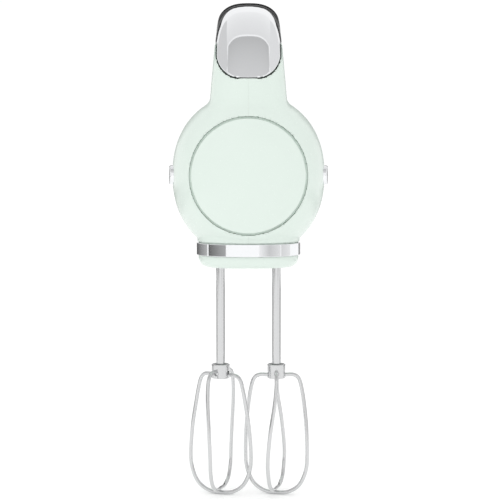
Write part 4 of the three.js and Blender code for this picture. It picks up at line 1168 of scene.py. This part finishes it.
def card(name, centre, facing, width, height, first_glow, last_glow, grade="up"):
    """A flat card that only shows in reflections.

    Its glow is graded from its low to its high edge, or from its right to its left edge as the object
    sees it.
    """
    half_w, half_h = width / 2, height / 2
    mesh = rectangle(name, half_w, half_h)
    material, nodes, links = new_material(name)
    nodes.clear()
    coordinates = nodes.new("ShaderNodeTexCoord")
    parts = nodes.new("ShaderNodeSeparateXYZ")
    links.new(coordinates.outputs["Object"], parts.inputs["Vector"])
    reach, output = (half_h, "Y") if grade == "up" else (half_w, "X")
    spread = nodes.new("ShaderNodeMapRange")
    spread.inputs["From Min"].default_value = -reach
    spread.inputs["From Max"].default_value = reach
    spread.inputs["To Min"].default_value = first_glow
    spread.inputs["To Max"].default_value = last_glow
    links.new(parts.outputs[output], spread.inputs["Value"])
    glow = nodes.new("ShaderNodeEmission")
    links.new(spread.outputs["Result"], glow.inputs["Strength"])
    out = nodes.new("ShaderNodeOutputMaterial")
    links.new(glow.outputs["Emission"], out.inputs["Surface"])
    mesh.materials.append(material)
    plane = bpy.data.objects.new(name, mesh)
    bpy.context.scene.collection.objects.link(plane)
    plane.location = centre
    towards = Vector(facing) - Vector(centre)
    plane.rotation_euler = towards.to_track_quat("Z", "Y").to_euler()
    plane.visible_camera = False
    plane.visible_diffuse = False
    plane.visible_shadow = False
    plane.visible_transmission = False


def make_world():
    """White in front, above and behind, and grey to both sides, so that round shapes keep their edges."""
    world = bpy.data.worlds.new("studio")
    bpy.context.scene.world = world
    world.use_nodes = True
    nodes, links = world.node_tree.nodes, world.node_tree.links
    coordinates = nodes.new("ShaderNodeTexCoord")
    parts = nodes.new("ShaderNodeSeparateXYZ")
    links.new(coordinates.outputs["Generated"], parts.inputs["Vector"])
    square = nodes.new("ShaderNodeMath")
    square.operation = "MULTIPLY"
    links.new(parts.outputs["X"], square.inputs[0])
    links.new(parts.outputs["X"], square.inputs[1])
    fall = nodes.new("ShaderNodeMath")
    fall.operation = "MULTIPLY_ADD"
    fall.inputs[1].default_value = -WORLD_SIDE_FALL
    fall.inputs[2].default_value = WORLD_LEVEL
    links.new(square.outputs["Value"], fall.inputs[0])
    links.new(fall.outputs["Value"], nodes["Background"].inputs["Strength"])
    nodes["Background"].inputs["Color"].default_value = (1.0, 1.0, 1.0, 1.0)


def area_light(name, place, aim, size, power):
    data = bpy.data.lights.new(name, "AREA")
    data.shape = "RECTANGLE"
    data.size = size[0]
    data.size_y = size[1]
    data.energy = power
    light = bpy.data.objects.new(name, data)
    bpy.context.scene.collection.objects.link(light)
    light.location = place
    light.rotation_euler = (Vector(aim) - Vector(place)).to_track_quat("-Z", "Y").to_euler()


def make_camera():
    data = bpy.data.cameras.new("camera")
    camera = bpy.data.objects.new("camera", data)
    bpy.context.scene.collection.objects.link(camera)
    place = Vector((CAMERA_X, DRIVE_Y * MM - CAMERA_DISTANCE, CAMERA_HEIGHT))
    aim = Vector((CAMERA_X, DRIVE_Y * MM, AIM_HEIGHT))
    camera.location = place
    camera.rotation_euler = (aim - place).to_track_quat("-Z", "Y").to_euler()
    data.sensor_width = SENSOR
    data.lens = SENSOR * (aim - place).length / FRAME_WIDTH
    data.clip_start = 0.01
    data.clip_end = 50.0
    bpy.context.scene.camera = camera


STRIP_CARDS = (
    # name, azimuth from the camera's side (positive to the right), distance, half-angle, glow from
    # its right to its left edge; all low strips that only the band sees
    ("dark_left_front", -58.0, 0.62, 26.5, 0.42, 0.13),
    ("dark_left_back", -122.0, 0.62, 32.0, 0.50, 0.12),
    ("grey_right_front", 19.0, 0.75, 9.0, 0.62, 0.98),
    ("grey_right_middle", 42.0, 0.75, 14.0, 0.84, 0.64),
    ("grey_right_far", 75.0, 0.75, 17.0, 0.90, 0.74),
    ("dark_right_back", 155.0, 0.75, 12.0, 0.35, 0.35),
)
CARDS = (
    # name, centre, facing, width, height, glow from its low to its high edge
    ("grey_ceiling", (0.0, -0.75, 1.15), (0.0, -0.136, 0.361), 1.7, 1.14, 0.79, 0.53),
    ("light_ceiling", (0.0, 0.35, 1.5), (0.0, 0.3, 0.0), 2.4, 1.2, 0.97, 0.82),
    ("grey_side_left", (-0.9, 0.1, 0.88), (0.0, -0.07, 0.27), 1.3, 0.8, 0.7, 0.7),
    ("grey_side_right", (0.9, 0.1, 0.88), (0.0, -0.07, 0.27), 1.3, 0.8, 0.82, 0.82),
    ("dark_low_left", (-0.45, 0.2, 0.04), (0.0, -0.07, 0.04), 0.5, 0.08, 0.4, 0.4),
    ("dark_low_right", (0.45, 0.2, 0.04), (0.0, -0.07, 0.04), 0.5, 0.08, 0.4, 0.4),
    ("flag_back_left", (-0.375, 1.0, 0.35), (0.0, -0.07, 0.25), 0.27, 0.9, 0.15, 0.15),
    ("flag_back_right", (0.375, 1.0, 0.35), (0.0, -0.07, 0.25), 0.27, 0.9, 0.15, 0.15),
    ("flag_back_top", (0.0, 1.1, 0.66), (0.0, -0.07, 0.28), 1.5, 0.46, 0.02, 0.02),
)


def make_cards():
    for name, azimuth, distance, half_angle, first_glow, last_glow in STRIP_CARDS:
        turn = math.radians(azimuth)
        width = 2.0 * distance * math.tan(math.radians(half_angle))
        centre = (distance * math.sin(turn), CARD_CENTRE_Y - distance * math.cos(turn), CARD_Z)
        facing = (0.0, CARD_CENTRE_Y, CARD_Z)
        card(name, centre, facing, width, CARD_HEIGHT, first_glow, last_glow, "across")
    for name, centre, facing, width, height, first_glow, last_glow in CARDS:
        card(name, centre, facing, width, height, first_glow, last_glow)


make_floor()
make_world()
make_camera()
make_cards()
area_light("key", (-0.5, -1.2, 1.3), (0.0, -0.07, 0.2), (0.9, 0.9), KEY_POWER)
bpy.context.scene.view_settings.view_transform = "Standard"
